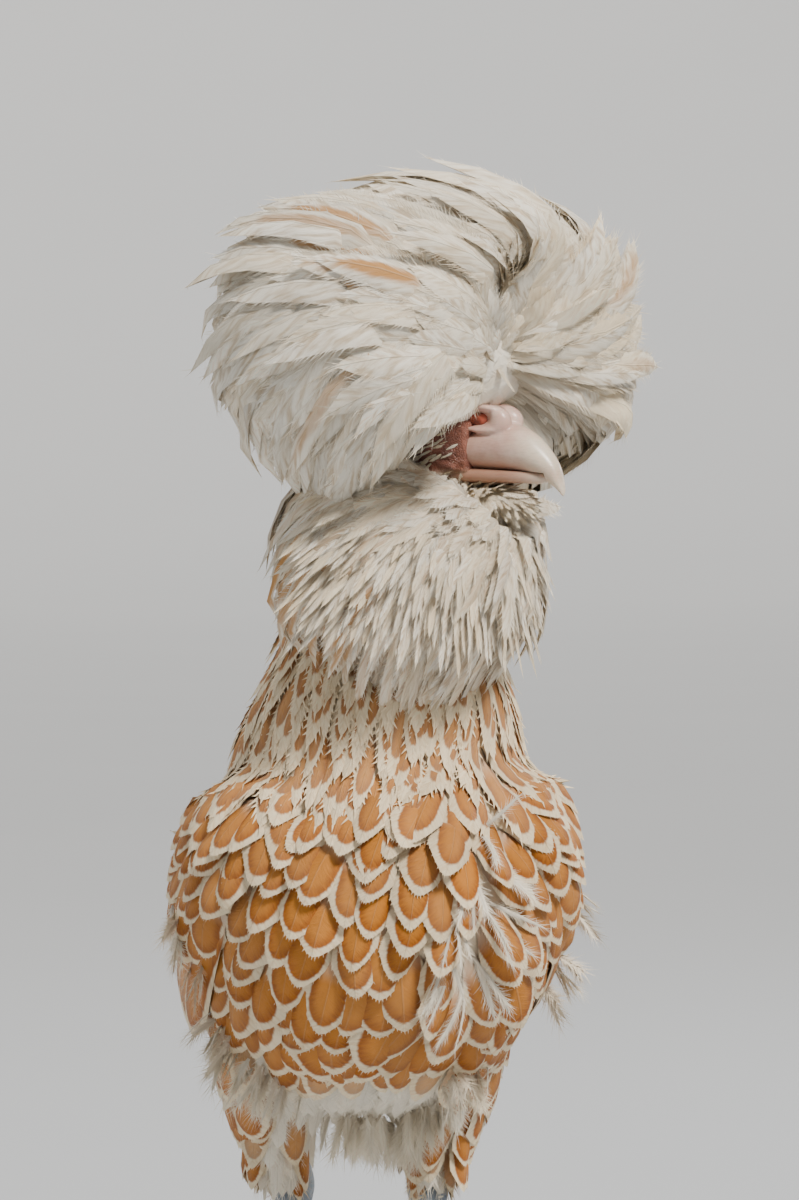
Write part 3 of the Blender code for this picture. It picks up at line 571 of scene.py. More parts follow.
def melted(bm, voxel, smoothing):
    """One closed surface round every overlapping body in a bmesh, its creases softened.

    The bmesh is used up.
    """
    mesh = bpy.data.meshes.new("melt")
    bm.to_mesh(mesh)
    bm.free()
    holder = bpy.data.objects.new("melt", mesh)
    bpy.context.scene.collection.objects.link(holder)
    remesh = holder.modifiers.new("melt", "REMESH")
    remesh.mode = "VOXEL"
    remesh.voxel_size = voxel
    graph = bpy.context.evaluated_depsgraph_get()
    found = bpy.data.meshes.new_from_object(holder.evaluated_get(graph))
    bpy.data.objects.remove(holder)
    bpy.data.meshes.remove(mesh)
    made = bmesh.new()
    made.from_mesh(found)
    bpy.data.meshes.remove(found)
    all_ways = {"use_axis_x": True, "use_axis_y": True, "use_axis_z": True}
    for _ in range(smoothing):
        bmesh.ops.smooth_vert(made, verts=made.verts, factor=0.5, **all_ways)
    bmesh.ops.recalc_face_normals(made, faces=made.faces)
    made.normal_update()
    return made


def add_ball(bm, centre, radii, axes, segments=24, rings=16):
    """Adds an ellipsoid whose radii lie along the given axes."""
    columns = [Vector(axis) * radius for axis, radius in zip(axes, radii)]
    place = Matrix.Translation(centre) @ Matrix(columns).transposed().to_4x4()
    bmesh.ops.create_uvsphere(bm, u_segments=segments, v_segments=rings, radius=1.0, matrix=place)


def add_head_balls(bm, balls, segments=24, rings=16):
    """Adds ellipsoids placed forward, left and up from the middle of the skull."""
    for place, radii in balls:
        add_ball(bm, on_head(*place), radii, head_axes(), segments, rings)


def finished_mesh(bm):
    """The bmesh as a mesh with its faces outward. The bmesh is used up."""
    bmesh.ops.recalc_face_normals(bm, faces=bm.faces)
    mesh = bpy.data.meshes.new("finished")
    bm.to_mesh(mesh)
    bm.free()
    return mesh


def vertex_values(mesh, name, values):
    """Gives each vertex a number that a material reads by name."""
    made = mesh.attributes.new(name, "FLOAT", "POINT")
    made.data.foreach_set("value", np.asarray(values, np.float32))


def neck_form():
    """The feathered neck, from inside the shoulders into the head: place, half width, half depth."""
    stations = (
        ((0.0040, -0.0080, 0.1840), 0.0360, 0.0300),
        ((0.0035, -0.0130, 0.2040), 0.0415, 0.0350),
        ((0.0050, -0.0180, 0.2200), 0.0385, 0.0340),
        ((0.0065, -0.0190, 0.2360), 0.0325, 0.0280),
        ((0.0050, -0.0180, 0.2520), 0.0260, 0.0225),
        ((0.0030, -0.0190, 0.2660), 0.0205, 0.0190),
        ((0.0010, -0.0220, 0.2780), 0.0165, 0.0175),
        ((0.0000, -0.0250, 0.2900), 0.0140, 0.0150),
    )
    placed = [(Vector(centre) - ORIGIN, width, depth) for centre, width, depth in stations]
    return Form(placed, (1, 0, 0), (0, -1, 0))


def hock_place(side):
    return Vector((STANCE_X + side * HOCK_SPREAD, FOOT_Y + HOCK_BEHIND, HOCK_HEIGHT)) - ORIGIN


def foot_place(side, height):
    return Vector((STANCE_X + side * FOOT_SPREAD, FOOT_Y, height)) - ORIGIN


def thigh_form(side):
    """The feathered thigh, from inside the belly to the hock: place, half width, half depth."""
    hock = hock_place(side)

    def towards_hock(out, behind, height, share):
        return blend(in_body(side * out, behind, height), hock, share)

    stations = (
        (in_body(side * 0.0260, 0.0000, 0.1400), 0.0150, 0.0230),
        (in_body(side * 0.0260, 0.0040, 0.1250), 0.0160, 0.0240),
        (towards_hock(0.0250, 0.0120, 0.1080, 0.1), 0.0148, 0.0195),
        (towards_hock(0.0240, 0.0200, 0.0980, 0.5), 0.0108, 0.0130),
        (hock + UP * 0.0030, 0.0070, 0.0076),
    )
    return Form(stations, (1, 0, 0), (0, -1, 0))


def wing_arm_form(side):
    """The folded arm on the torso: place along and round it, half width and half height."""
    torso = torso_form()
    _, back, left = body_axes()
    shape = (
        (0.80, 84.0, 0.0040, 0.0018),
        (0.76, 86.0, 0.0130, 0.0036),
        (0.68, 88.0, 0.0200, 0.0046),
        (0.58, 88.0, 0.0225, 0.0046),
        (0.48, 84.0, 0.0200, 0.0042),
        (0.40, 80.0, 0.0130, 0.0034),
        (0.34, 78.0, 0.0050, 0.0018),
    )
    arm = [(torso.over(along, side * math.radians(a), 0.0020), w, h) for along, a, w, h in shape]
    return Form(arm, back, left * side)


def tail_stump_form():
    """The root of the tail: distance behind, height, half width and half height."""
    shape = (
        (0.0560, 0.1480, 0.0110, 0.0090),
        (0.0680, 0.1530, 0.0150, 0.0125),
        (0.0800, 0.1570, 0.0145, 0.0120),
        (0.0920, 0.1600, 0.0110, 0.0090),
        (0.1000, 0.1620, 0.0040, 0.0035),
    )
    left, _ = level_axes()
    stations = [(in_body(0.0, behind, height), w, h) for behind, height, w, h in shape]
    return Form(stations, left, UP)


def form_on_head(shape, squareness):
    """A form from distances forward, rises, half widths and half heights on the head."""
    _, aside, above = head_axes()
    stations = [(on_head(forward, 0.0, rise), w, h) for forward, rise, w, h in shape]
    return Form(stations, aside, above, squareness)


def head_form():
    """The skull with its cheeks, from the nape to the root of the bill."""
    shape = (
        (-0.0260, 0.0010, 0.0040, 0.0045),
        (-0.0220, 0.0010, 0.0095, 0.0100),
        (-0.0120, 0.0010, 0.0140, 0.0145),
        (0.0000, 0.0005, 0.0145, 0.0155),
        (0.0110, -0.0015, 0.0125, 0.0135),
        (0.0200, -0.0035, 0.0098, 0.0112),
        (0.0270, -0.0050, 0.0078, 0.0092),
    )
    return form_on_head(shape, 2.2)


def body_without_wings():
    """Torso, neck, tail stump and thighs in one bmesh, still overlapping."""
    bm = bmesh.new()
    torso_form().loft(bm, 40, 64)
    neck_form().loft(bm, 30, 48)
    tail_stump_form().loft(bm, 12, 24)
    for side in (-1, 1):
        thigh_form(side).loft(bm, 20, 32)
    return bm


def coat_surface():
    """The outer surface that the coat's tips lie on, one closed form from hock to nape."""
    bm = body_without_wings()
    for side in (-1, 1):
        wing_arm_form(side).loft(bm, 20, 24)
    return melted(bm, 0.0026, 6)


def corners_and_triangles(bm):
    """Corners and triangles of a bmesh as arrays."""
    mesh = bpy.data.meshes.new("read")
    bm.to_mesh(mesh)
    mesh.calc_loop_triangles()
    corners = np.empty(len(mesh.vertices) * 3, np.float32)
    mesh.vertices.foreach_get("co", corners)
    triangles = np.empty(len(mesh.loop_triangles) * 3, np.int32)
    mesh.loop_triangles.foreach_get("vertices", triangles)
    bpy.data.meshes.remove(mesh)
    return corners.reshape(-1, 3).astype(float), triangles.reshape(-1, 3)


def crowded(kept, cell, place, gap):
    """Whether a place has a kept one nearer to it than the gap."""
    reach = int(gap / cell) + 1
    spans = [range(int(n // cell) - reach, int(n // cell) + reach + 1) for n in place]
    return any((other - place).length < gap for key in product(*spans) for other in kept.get(key, ()))


def scattered(bm, spacing, seed, tries=5):
    """Points spread evenly over a surface, no two nearer than spacing(point)."""
    corners, triangles = corners_and_triangles(bm)
    draw = np.random.default_rng(seed)
    a, b, c = (corners[triangles[:, i]] for i in range(3))
    cross = np.cross(b - a, c - a)
    area = 0.5 * np.linalg.norm(cross, axis=1)
    gaps = [spacing(Vector(p)) for p in a[:: max(len(a) // 400, 1)]]
    nearest = min(gap for gap in gaps if gap > 0.0)
    count = int(tries * area.sum() / (nearest * nearest))
    picked = draw.choice(len(area), count, p=area / area.sum())
    u, v = draw.random(count), draw.random(count)
    flip = u + v > 1.0
    u[flip], v[flip] = 1.0 - u[flip], 1.0 - v[flip]
    points = a[picked] + (b - a)[picked] * u[:, None] + (c - a)[picked] * v[:, None]
    by_cell, kept = {}, []
    for point in points:
        place = Vector(point)
        gap = spacing(place)
        if gap > 0.0 and not crowded(by_cell, nearest, place, gap):
            by_cell.setdefault(tuple(int(n // nearest) for n in place), []).append(place)
            kept.append(place)
    return kept


class Feather:
    """One kind of feather: its outline, and the loose barbs along its edges and tip."""

    def __init__(self, outline, columns, barbs_at, barb_length, barb_base, camber, first=0.35, tip=0.4):
        side_barbs, tip_barbs = barbs_at
        self.outline = np.array(outline)
        self.tip = tip
        self.columns = columns
        self.camber = camber
        last = len(outline) - 1
        barbs = []
        for i in range(side_barbs):
            share = blend(first, 0.97, (i + 0.5) / side_barbs)
            lean = math.radians(blend(38.0, 62.0, share))
            length = barb_length * blend(0.65, 1.0, share)
            for side in (-1.0, 1.0):
                barbs.append((share * last, side, side, lean, length, barb_base))
        for i in range(tip_barbs):
            place = blend(-0.92, 0.92, i / (tip_barbs - 1)) if tip_barbs > 1 else 0.0
            side = 1.0 if place >= 0 else -1.0
            lean = math.radians(90.0 - 30.0 * abs(place))
            barbs.append((float(last), place, side, lean, barb_length, barb_base * 0.8))
        self.barbs = np.array(barbs)

    def rounded(self, row, place):
        """Rows drawn back towards the edges, so that the tip is rounded."""
        return row - self.tip * place**2 * (row / (len(self.outline) - 1)) ** 3

    def on_map(self, row, place):
        """Where rows and places across lie on the feather map."""
        rows = len(self.outline)
        shape = np.interp(row, np.arange(rows), self.outline)
        return np.stack([place * shape * 0.5 + 0.5, row / (rows - 1)], axis=1)

    def vane(self, lay):
        """Corners, map and faces of the web of many feathers."""
        rows, columns = len(self.outline), self.columns
        place = np.tile(np.linspace(-1.0, 1.0, columns), rows)
        row = self.rounded(np.repeat(np.arange(rows, dtype=float), columns), place)
        firsts = [i * columns + j for i in range(rows - 1) for j in range(columns - 1)]
        quads = [(k, k + 1, k + columns + 1, k + columns) for k in firsts]
        return lay.at(row, place)[0], self.on_map(row, place), quads

    def loose_barbs(self, lay, width, draw):
        """Corners and map of the thin triangles that stand off the edges and the tip."""
        row, place, side, lean, length, base = self.barbs.T
        row = self.rounded(row, place)
        centre, level, raised, onward = lay.at(row, place)
        size = (len(width), len(row))
        slant = lean[None, :] + draw.normal(0.0, 0.16, size)
        reach = length[None, :] * width[:, None] * draw.uniform(0.55, 1.25, size)
        cos, sin = (np.cos(slant) * side)[:, :, None], np.sin(slant)[:, :, None]
        way, square = level * cos + onward * sin, onward * cos - level * sin
        lift = draw.normal(0.0, 0.22, size)[:, :, None]
        spread = 0.5 * base[None, :, None] * width[:, None, None]
        inner = centre - way * reach[:, :, None] * 0.25
        tip = centre + (way + raised * lift) * reach[:, :, None]
        trios = np.stack([inner + square * spread, inner - square * spread, tip], axis=2)
        root = self.on_map(row, place)
        shift = np.stack([np.cos(lean) * side * 0.10, np.sin(lean) * 0.07], axis=1)
        maps = np.stack([root, root, root + shift], axis=1)
        return trios.reshape(len(width), -1, 3), maps.reshape(-1, 2)


class Lay:
    """The middle lines of many feathers, with their directions and half widths."""

    def __init__(self, path, outward, roll, half, camber):
        ahead = np.gradient(path, axis=1)
        ahead /= np.linalg.norm(ahead, axis=2, keepdims=True) + 1e-12
        across = np.cross(ahead, outward)
        across /= np.linalg.norm(across, axis=2, keepdims=True) + 1e-12
        face = np.cross(across, ahead)
        c, s = np.cos(roll)[:, None, None], np.sin(roll)[:, None, None]
        self.lines = (path, across * c + face * s, face * c - across * s, ahead)
        self.half = half
        self.camber = camber

    def at(self, row, place):
        """Points at rows and places across, from -1 to 1, and the directions there."""
        low = np.clip(np.floor(row).astype(int), 0, self.half.shape[1] - 2)
        t = (row - low)[None, :, None]
        middle, level, raised, onward = (v[:, low] * (1 - t) + v[:, low + 1] * t for v in self.lines)
        reach = self.half[:, low] * (1 - t[:, :, 0]) + self.half[:, low + 1] * t[:, :, 0]
        bow = self.camber * (0.6 - place**2)[None, :] * reach
        found = middle + level * (reach * place)[:, :, None] + raised * bow[:, :, None]
        return found, level, raised, onward


class Plumes:
    """Feathers of one kind laid out for one piece, then made into one mesh."""

    def __init__(self, kind):
        self.kind = kind
        self.paths, self.outwards, self.widths = [], [], []
        self.tints, self.atlas, self.rolls = [], [], []

    def add(self, path, outwards, width, tint, place, roll=0.0):
        """Keeps one feather: its line, colours, place on the bake map and roll."""
        self.paths.append([tuple(p) for p in path])
        self.outwards.append([tuple(o) for o in outwards])
        self.widths.append(width)
        self.tints.append(tint)
        self.atlas.append(place)
        self.rolls.append(roll)

    def tuft(self, draw, root, heading, out, length, widths, place, lacing, roll=0.0, buff=0.0, sag=0.0):
        """Adds a short feather straight out from a root, its tip sagging."""
        way = heading.normalized() * length
        path = [root + way * share - UP * (sag * share * share) for share in SHARES]
        tint = (draw.uniform(0.0, buff) if buff else 0.0, lacing, draw.random())
        width = draw.uniform(*widths)
        self.add(path, [out] * STATIONS, width, tint, place, draw.gauss(0.0, roll) if roll else 0.0)

    def arrays(self, seed):
        """Faces of one feather, then corners, feather map, bake map and tints of all."""
        kind, draw = self.kind, np.random.default_rng(seed)
        width = np.array(self.widths)
        half = 0.5 * width[:, None] * kind.outline[None, :]
        half = half * (1.0 + draw.normal(0.0, 0.02, half.shape))
        paths, outwards, rolls = (np.array(v) for v in (self.paths, self.outwards, self.rolls))
        lay = Lay(paths, outwards, rolls, half, kind.camber)
        vane, vane_map, quads = kind.vane(lay)
        barbs, barb_map = kind.loose_barbs(lay, width, draw)
        triangles = vane.shape[1] + np.arange(barbs.shape[1]).reshape(-1, 3)
        corners = np.concatenate([vane, barbs], axis=1)
        size = corners.shape[:2]
        maps = np.broadcast_to(np.concatenate([vane_map, barb_map]), (*size, 2))
        atlas = np.array(self.atlas)[:, None, :] + (maps - 0.5) * TUFT_PATCH
        tints = np.broadcast_to(np.array(self.tints)[:, None, :], (*size, 3))
        return np.array(quads), triangles, (corners, maps, atlas, tints)


def plume_piece(name, batches, material, seed, slot, *nodes):
    """Joins laid-out feathers into one piece that the hen carries."""
    quads, triangles, tables, start = [], [], [], 0
    for order, plumes in enumerate(batches):
        four, three, values = plumes.arrays(seed + order)
        count, per = values[0].shape[:2]
        offsets = start + np.arange(count)[:, None, None] * per
        quads.append((four[None] + offsets).reshape(-1, 4))
        triangles.append((three[None] + offsets).reshape(-1, 3))
        start += count * per
        tables.append([value.reshape(-1, value.shape[-1]) for value in values])
    corners, maps, atlas, tints = (np.concatenate(column) for column in zip(*tables))
    quads, triangles = np.concatenate(quads), np.concatenate(triangles)
    loops = np.concatenate([quads.ravel(), triangles.ravel()]).astype(np.int32)
    mesh = bpy.data.meshes.new(name)
    mesh.vertices.add(len(corners))
    mesh.vertices.foreach_set("co", corners.astype(np.float32).ravel())
    mesh.loops.add(len(loops))
    mesh.loops.foreach_set("vertex_index", loops)
    mesh.polygons.add(len(quads) + len(triangles))
    after_quads = len(quads) * 4 + np.arange(len(triangles)) * 3
    starts = np.concatenate([np.arange(len(quads)) * 4, after_quads])
    mesh.polygons.foreach_set("loop_start", starts.astype(np.int32))
    mesh.update(calc_edges=True)
    for label, values in (("Feather", maps), ("OFBake", atlas)):
        layer = mesh.uv_layers.new(name=label)
        layer.data.foreach_set("uv", values[loops].astype(np.float32).ravel())
    mesh.uv_layers["OFBake"].active_render = True
    colours = np.ones((len(corners), 4), np.float32)
    colours[:, :3] = tints
    mesh.attributes.new("tint", "FLOAT_COLOR", "POINT").data.foreach_set("color", colours.ravel())
    mesh.validate()
    hen_piece(name, mesh, material, slot, *nodes)


CONTOUR = Feather(
    (0.30, 0.62, 0.88, 1.0, 1.0, 0.98, 0.76),
    columns=7, barbs_at=(14, 13), barb_length=0.055, barb_base=0.028, camber=0.40, first=0.35, tip=2.0,
)
HACKLE = Feather(
    (0.40, 0.80, 1.0, 0.92, 0.72, 0.46, 0.16),
    columns=3, barbs_at=(8, 1), barb_length=0.28, barb_base=0.10, camber=0.35,
)
DOWN = Feather(
    (0.26, 0.46, 0.60, 0.66, 0.60, 0.46, 0.26),
    columns=3, barbs_at=(24, 5), barb_length=0.46, barb_base=0.034, camber=0.40, first=0.15, tip=0.8,
)
WISP = Feather(
    (0.16, 0.24, 0.28, 0.28, 0.24, 0.18, 0.10),
    columns=3, barbs_at=(26, 5), barb_length=0.80, barb_base=0.040, camber=0.50, first=0.10,
)
CREST_PLUME = Feather(
    (0.34, 0.62, 0.84, 0.94, 0.86, 0.62, 0.26),
    columns=3, barbs_at=(34, 7), barb_length=0.34, barb_base=0.024, camber=0.50, first=0.30, tip=0.8,
)
LOCK = Feather(
    (0.40, 0.74, 0.90, 0.84, 0.64, 0.42, 0.16),
    columns=3, barbs_at=(22, 3), barb_length=0.44, barb_base=0.034, camber=0.55, first=0.25, tip=0.6,
)
QUILL = Feather(
    (0.30, 0.72, 0.92, 1.0, 0.99, 0.96, 0.74),
    columns=7, barbs_at=(9, 11), barb_length=0.04, barb_base=0.030, camber=0.22, first=0.45, tip=1.5,
)


def wobble(draw, spread):
    """A small random vector."""
    return Vector([draw.gauss(0.0, spread) for _ in range(3)])


def bent_path(start, bend, end):
    """Points along a quadratic curve from start to end, pulled towards bend."""
    return [start * (1 - t) ** 2 + bend * (2 * t * (1 - t)) + end * t * t for t in SHARES]


def flowing_path(pole, way, root, edge, full, curl, lean, arch=0.0, hang=0.0):
    """From a root on the core out to an edge, then along it, away from the pole of the flow."""
    side, above = pole.cross(way), head_axes()[2]
    path = []
    for s in SHARES:
        leading = pole.slerp(way, blend(ROOT_SHARE, 1.0, s)) + side * (lean * s * s)
        leading += above * (arch * math.sin(math.pi * blend(0.25, 1.0, s)))
        on_edge = edge(leading.normalized(), full * (0.95 + curl * s * s))
        path.append(blend(root, on_edge, min(1.0, 0.05 + 1.9 * s)) - UP * (hang * eased(s, 0.35, 1.0)))
    return path


def laid_path(surface, root, way, length, depth, rise):
    """A feather's path over a surface: rooted beneath it, its tip standing on it.

    Where the thigh ends at the hock, the feather hangs on straight down.
    """
    place = root.copy()
    path, outwards = [], []
    step = length / (STATIONS - 1)
    for i, share in enumerate(SHARES):
        lift = blend(-depth, rise, share ** 0.8)
        if i and place.z < HOCK_HEIGHT + 0.011 and way.z < 0:
            heading = (path[-1] - path[-2]).normalized() if i > 1 else way.normalized()
            heading = (heading + UP * -0.6).normalized()
            path.append(path[-1] + heading * step)
            outwards.append(outwards[-1])
            continue
        found, normal, _, _ = surface.find_nearest(place)
        path.append(found + normal * lift)
        outwards.append(normal)
        heading = way - normal * way.dot(normal)
        if heading.length < 1e-4:
            heading = -UP - normal * -UP.dot(normal)
        place = found + heading.normalized() * step
    return path, outwards


def lie_of_coat(place, normal):
    """The way the feathers point: back along the body, down the neck and the breast."""
    forward = body_axes()[0]
    neckness = eased(place.z, 0.185, 0.225)
    way = blend(-forward * 0.75 - UP * 0.55, -UP, neckness)
    way = blend(way, -UP, eased(0.135 - place.z, 0.0, 0.03) * 0.6)
    front = eased(-normal.y, 0.2, 0.7)
    parting = off_parting(place)
    lean = math.copysign(1.0, parting) * bump(parting, 0.0, 0.022) * front
    way = way + Vector((lean * 0.40, 0.0, 0.0))
    swirl = noise.noise(place * 38.0)
    return way + normal.cross(way) * swirl * 0.22


def across_unwrap(turn):
    """Where a turn in degrees lies across an unwrap."""
    return 0.5 + turn / 360.0 * UNWRAP_WIDTH


def coat_unwrap(place):
    """The place of a feather's root on the body's own unwrap: round it and along it."""
    if place.z > NECK_FOOT:
        turn = math.atan2(place.x - NECK_MIDDLE[0], NECK_MIDDLE[1] - place.y)
        return across_unwrap(math.degrees(turn)), blend(0.70, 0.98, (place.z - NECK_FOOT) / 0.09)
    forward, back, left = body_axes()
    away = place - BODY_CENTRE
    turn = math.atan2(away.dot(left), away.dot(back))
    return across_unwrap(math.degrees(turn)), blend(0.03, 0.66, (away.dot(forward) + 0.11) / 0.21)


FLUFFS = ((-0.0450, 0.1260, 0.0070), (-0.0330, 0.1220, 0.0065), (0.0160, 0.1130, 0.0070))
SIDE_TUFTS = (
    (-0.0520, -0.0400, 0.1600, 16, (-0.10, -0.8, -0.70)),
    (-0.0440, -0.0330, 0.1290, 22, (-0.6, -0.5, -0.70)),
    (-0.0340, -0.0370, 0.1240, 20, (-0.3, -0.5, -0.80)),
    (-0.0120, -0.0220, 0.1120, 26, (-0.1, -0.5, -0.90)),
    (0.0060, -0.0200, 0.1120, 26, (0.1, -0.5, -0.90)),
    (-0.0100, -0.0020, 0.1060, 34, (0.0, -0.2, -1.00)),
    (0.0040, -0.0020, 0.1060, 34, (0.0, -0.2, -1.00)),
    (0.0160, -0.0420, 0.1200, 16, (0.2, -0.8, -0.60)),
    (0.0560, -0.0180, 0.1640, 8, (0.7, -0.5, -0.60)),
    (0.0520, -0.0230, 0.1420, 10, (0.7, -0.5, -0.60)),
)
PARTING_X = 0.0210
PARTING_LEAN = 0.06


def off_parting(place):
    """How far a place lies to the left of the ruffled parting down the breast."""
    return place.x - (PARTING_X + PARTING_LEAN * (place.z - 0.15))


def coat_spacing(place):
    """The gap between the feathers at a place on the coat, or 0 where there are none."""
    if place.z > COAT_TOP or place.z < COAT_FOOT:
        return 0.0
    neckness = eased(place.z, 0.185, 0.235)
    low = eased(0.112 - place.z, 0.0, 0.02)
    joint = 1.0 - 0.18 * bump(place.z, 0.200, 0.012)
    return blend(blend(0.0074, 0.0042, neckness), 0.0050, low) * joint


def fluff_at(place, normal):
    """How loose the coat is: most in the middle of the belly, under the rear and by the thighs."""
    forward, back, left = body_axes()
    away = place - BODY_CENTRE
    low = eased(0.135 - place.z, 0.0, 0.022) * bump(away.dot(left), 0.0, 0.017)
    under = eased(-normal.z, 0.45, 0.9) * eased(0.150 - place.z, 0.0, 0.03)
    rear = eased(-away.dot(forward), 0.02, 0.075) * eased(-normal.dot(back), -0.1, 0.5)
    fluff = max(low, under, rear)
    if normal.y < 0.35:
        for x, z, size in FLUFFS:
            off = math.hypot(place.x - x, place.z - z) / size
            fluff = max(fluff, 1.0 - eased(off, 0.8, 1.2))
    return fluff


def part_and_kind(place, normal, neckness, downy):
    """The part of the coat that a feather belongs to, and its kind."""
    if neckness > 0.55:
        return "hackle", HACKLE
    if place.z < THIGH_TOP:
        return "thighs", DOWN if downy > 0.5 or place.z < 0.094 else CONTOUR
    if downy > 0.5:
        return "belly", DOWN
    if normal.dot(body_axes()[1]) > 0.55:
        return "back", CONTOUR
    return "breast" if eased(-normal.y, 0.1, 0.6) > 0.45 else "flanks", CONTOUR


def add_wisps(surface, wisps, root, way, length, rise, spot, draw):
    """Three loose wisps beside a feather of the parting."""
    for _ in range(3):
        aim = way + wobble(draw, 0.35)
        reach, lift = length * draw.uniform(0.6, 0.9), rise + draw.uniform(0.0, 0.004)
        path, outwards = laid_path(surface, root, aim, reach, 0.0030, lift)
        width, tint = draw.uniform(0.0035, 0.0060), (0.0, 0.5, draw.random())
        wisps.add(path, outwards, width, tint, spot, draw.gauss(0.0, 0.4))


def add_coat_feather(surface, parts, place, draw):
    """Lays one feather in its part of the coat."""
    root, normal, _, _ = surface.find_nearest(place)
    spot = coat_unwrap(place)
    neckness = eased(place.z, 0.192, 0.228)
    fluff = fluff_at(place, normal)
    size = 0.82 + 0.30 * eased(0.185 - place.z, 0.0, 0.05)
    length = blend(blend(0.0255 * size, 0.0320, neckness), 0.0240, fluff) * draw.uniform(0.88, 1.14)
    width = blend(blend(0.0150 * size, 0.0076, neckness), 0.0100, fluff) * draw.uniform(0.88, 1.12)
    if place.z < 0.112:
        length, width = length * 0.72, width * 0.72
    way = lie_of_coat(place, normal) + wobble(draw, 0.10)
    ruffle = eased(-normal.y, 0.1, 0.6) * (1.0 - neckness) * (0.6 + 0.8 * bump(place.x, 0.018, 0.018))
    rise = 0.0002 + 0.0022 * ruffle * max(draw.gauss(0.35, 0.6), 0.0) + draw.uniform(0.0, 0.0006)
    if fluff > 0.5:
        rise += draw.uniform(0.0, 0.0016)
    seam = bump(off_parting(place), 0.0, 0.009) * eased(-normal.y, 0.5, 0.8)
    seam *= bump(place.z, 0.165, 0.034)
    if seam > 0.35:
        length, width, rise = length * 0.85, width * 0.80, rise + draw.uniform(0.001, 0.005)
        add_wisps(surface, parts["breast"][WISP], root, way, length, rise, spot, draw)
    path, outwards = laid_path(surface, root, way, length, ROOT_DEPTH, rise)
    downy = eased(fluff, 0.62, 0.88)
    buff = blend(blend(1.0, 0.85, neckness), 0.0, downy) * draw.uniform(0.93, 1.0)
    lacing = blend(blend(0.24, 0.42, neckness), 0.5, downy) * draw.uniform(0.85, 1.15)
    lacing *= 1.0 + 0.15 * eased((place - BODY_CENTRE).dot(body_axes()[0]), 0.045, 0.085)
    tint = (buff, lacing, draw.random())
    name, kind = part_and_kind(place, normal, neckness, downy)
    laid = parts[name].setdefault(kind, Plumes(kind))
    laid.add(path, outwards, width, tint, spot, draw.gauss(0.0, 0.16))


def add_side_tufts(surface, wisps, draw):
    """Loose tufts that soften the outline of the belly, the flanks and the wing's edge."""
    for x, y, z, count, aim in SIDE_TUFTS:
        for _ in range(count):
            place = Vector((x, y, z)) + wobble(draw, 0.0036)
            found, normal, _, _ = surface.find_nearest(place)
            heading = Vector(aim) + normal * 0.4 + wobble(draw, 0.28)
            length, sag = draw.uniform(0.006, 0.0115), draw.uniform(0.001, 0.004)
            root, widths, spot = found + normal * 0.001, (0.0040, 0.0065), coat_unwrap(found)
            wisps.tuft(draw, root, heading, normal, length, widths, spot, lacing=0.5, roll=0.5, sag=sag)


def build_coat(settings):
    """Every small feather of neck, breast, back, flanks, belly and thighs."""
    outer = coat_surface()
    surface = BVHTree.FromBMesh(outer)
    draw = random.Random(SEED)
    parts = {name: {} for name in ("breast", "back", "flanks", "belly", "thighs", "hackle")}
    parts["breast"][WISP] = Plumes(WISP)
    for place in scattered(outer, lambda point: coat_spacing(point) * settings.coat_spacing, SEED):
        add_coat_feather(surface, parts, place, draw)
    add_side_tufts(surface, parts["breast"][WISP], draw)
    outer.free()
    finish = feather_finish("laced_feathers", settings, silky=False)
    for order, (name, batches) in enumerate(parts.items()):
        plume_piece("coat_" + name, batches.values(), finish, SEED + order, "body_feathers")


def crest_edge(way, share):
    """The crest's outline in a direction, parted over the bill."""
    ahead, aside, above = head_axes()
    forward, side, up = way.dot(ahead), way.dot(aside), way.dot(above)
    turn = math.degrees(math.atan2(side, forward))
    parted = CREST_PARTING * bump(turn, PARTING_TURN, 26.0) * (1.0 - eased(up, 0.35, 0.85))
    level = max(math.hypot(forward, side), 1e-4)
    reach = CREST_RADIUS * (1.0 - parted) * level ** -0.14
    out = (ahead * forward + aside * side) * reach + above * up * CREST_RISE
    return on_head(CREST_AT[0], 0.0, CREST_AT[1]) + out * share


CREST_TUFTS = (
    (-180.0, 0.00, 0.00),
    (-130.0, 0.00, -0.10),
    (-105.0, 0.04, -0.10),
    (-92.0, -0.05, 0.00),
    (-80.0, 0.05, 0.00),
    (-62.0, -0.07, 0.00),
    (-48.0, 0.05, 0.05),
    (-38.0, -0.07, 0.08),
    (-27.0, 0.07, 0.12),
    (-14.0, -0.07, 0.12),
    (-2.0, 0.08, 0.18),
    (10.0, -0.03, 0.20),
    (20.0, 0.05, 0.24),
    (32.0, 0.07, 0.24),
    (40.0, -0.13, 0.05),
    (50.0, 0.03, 0.05),
    (75.0, 0.00, 0.12),
    (110.0, 0.00, 0.12),
    (150.0, 0.00, 0.05),
    (180.0, 0.00, 0.00),
)


def crest_tuft(way, pole):
    """How far a direction's tuft stands out and leans, by its angle round the pole of the flow."""
    _, aside, above = head_axes()
    level = above - pole * pole.dot(above)
    turn = math.degrees(math.atan2(-way.dot(aside), way.dot(level)))
    turns, reaches, leans = zip(*CREST_TUFTS)
    off = eased(way.angle(pole), math.radians(15.0), math.radians(60.0))
    return float(np.interp(turn, turns, reaches)) * off, float(np.interp(turn, turns, leans))


def core_place(way, core, at, share=1.0):
    """A place on a hidden core, or inside it at a share of its radii."""
    place = on_head(at[0], 0.0, at[1])
    for axis, radius in zip(head_axes(), core):
        place += axis * way.dot(axis) * radius * share
    return place


def crest_floor(turn):
    """The crest's lowest rise at a turn from the bill: high over the face, low behind."""
    behind = 16.0 * eased(abs(turn), 95.0, 140.0)
    over_face = (60.0 + 22.0 * eased(-turn, -10.0, 15.0)) * bump(turn, -2.0, 58.0)
    return over_face - 55.0 - behind


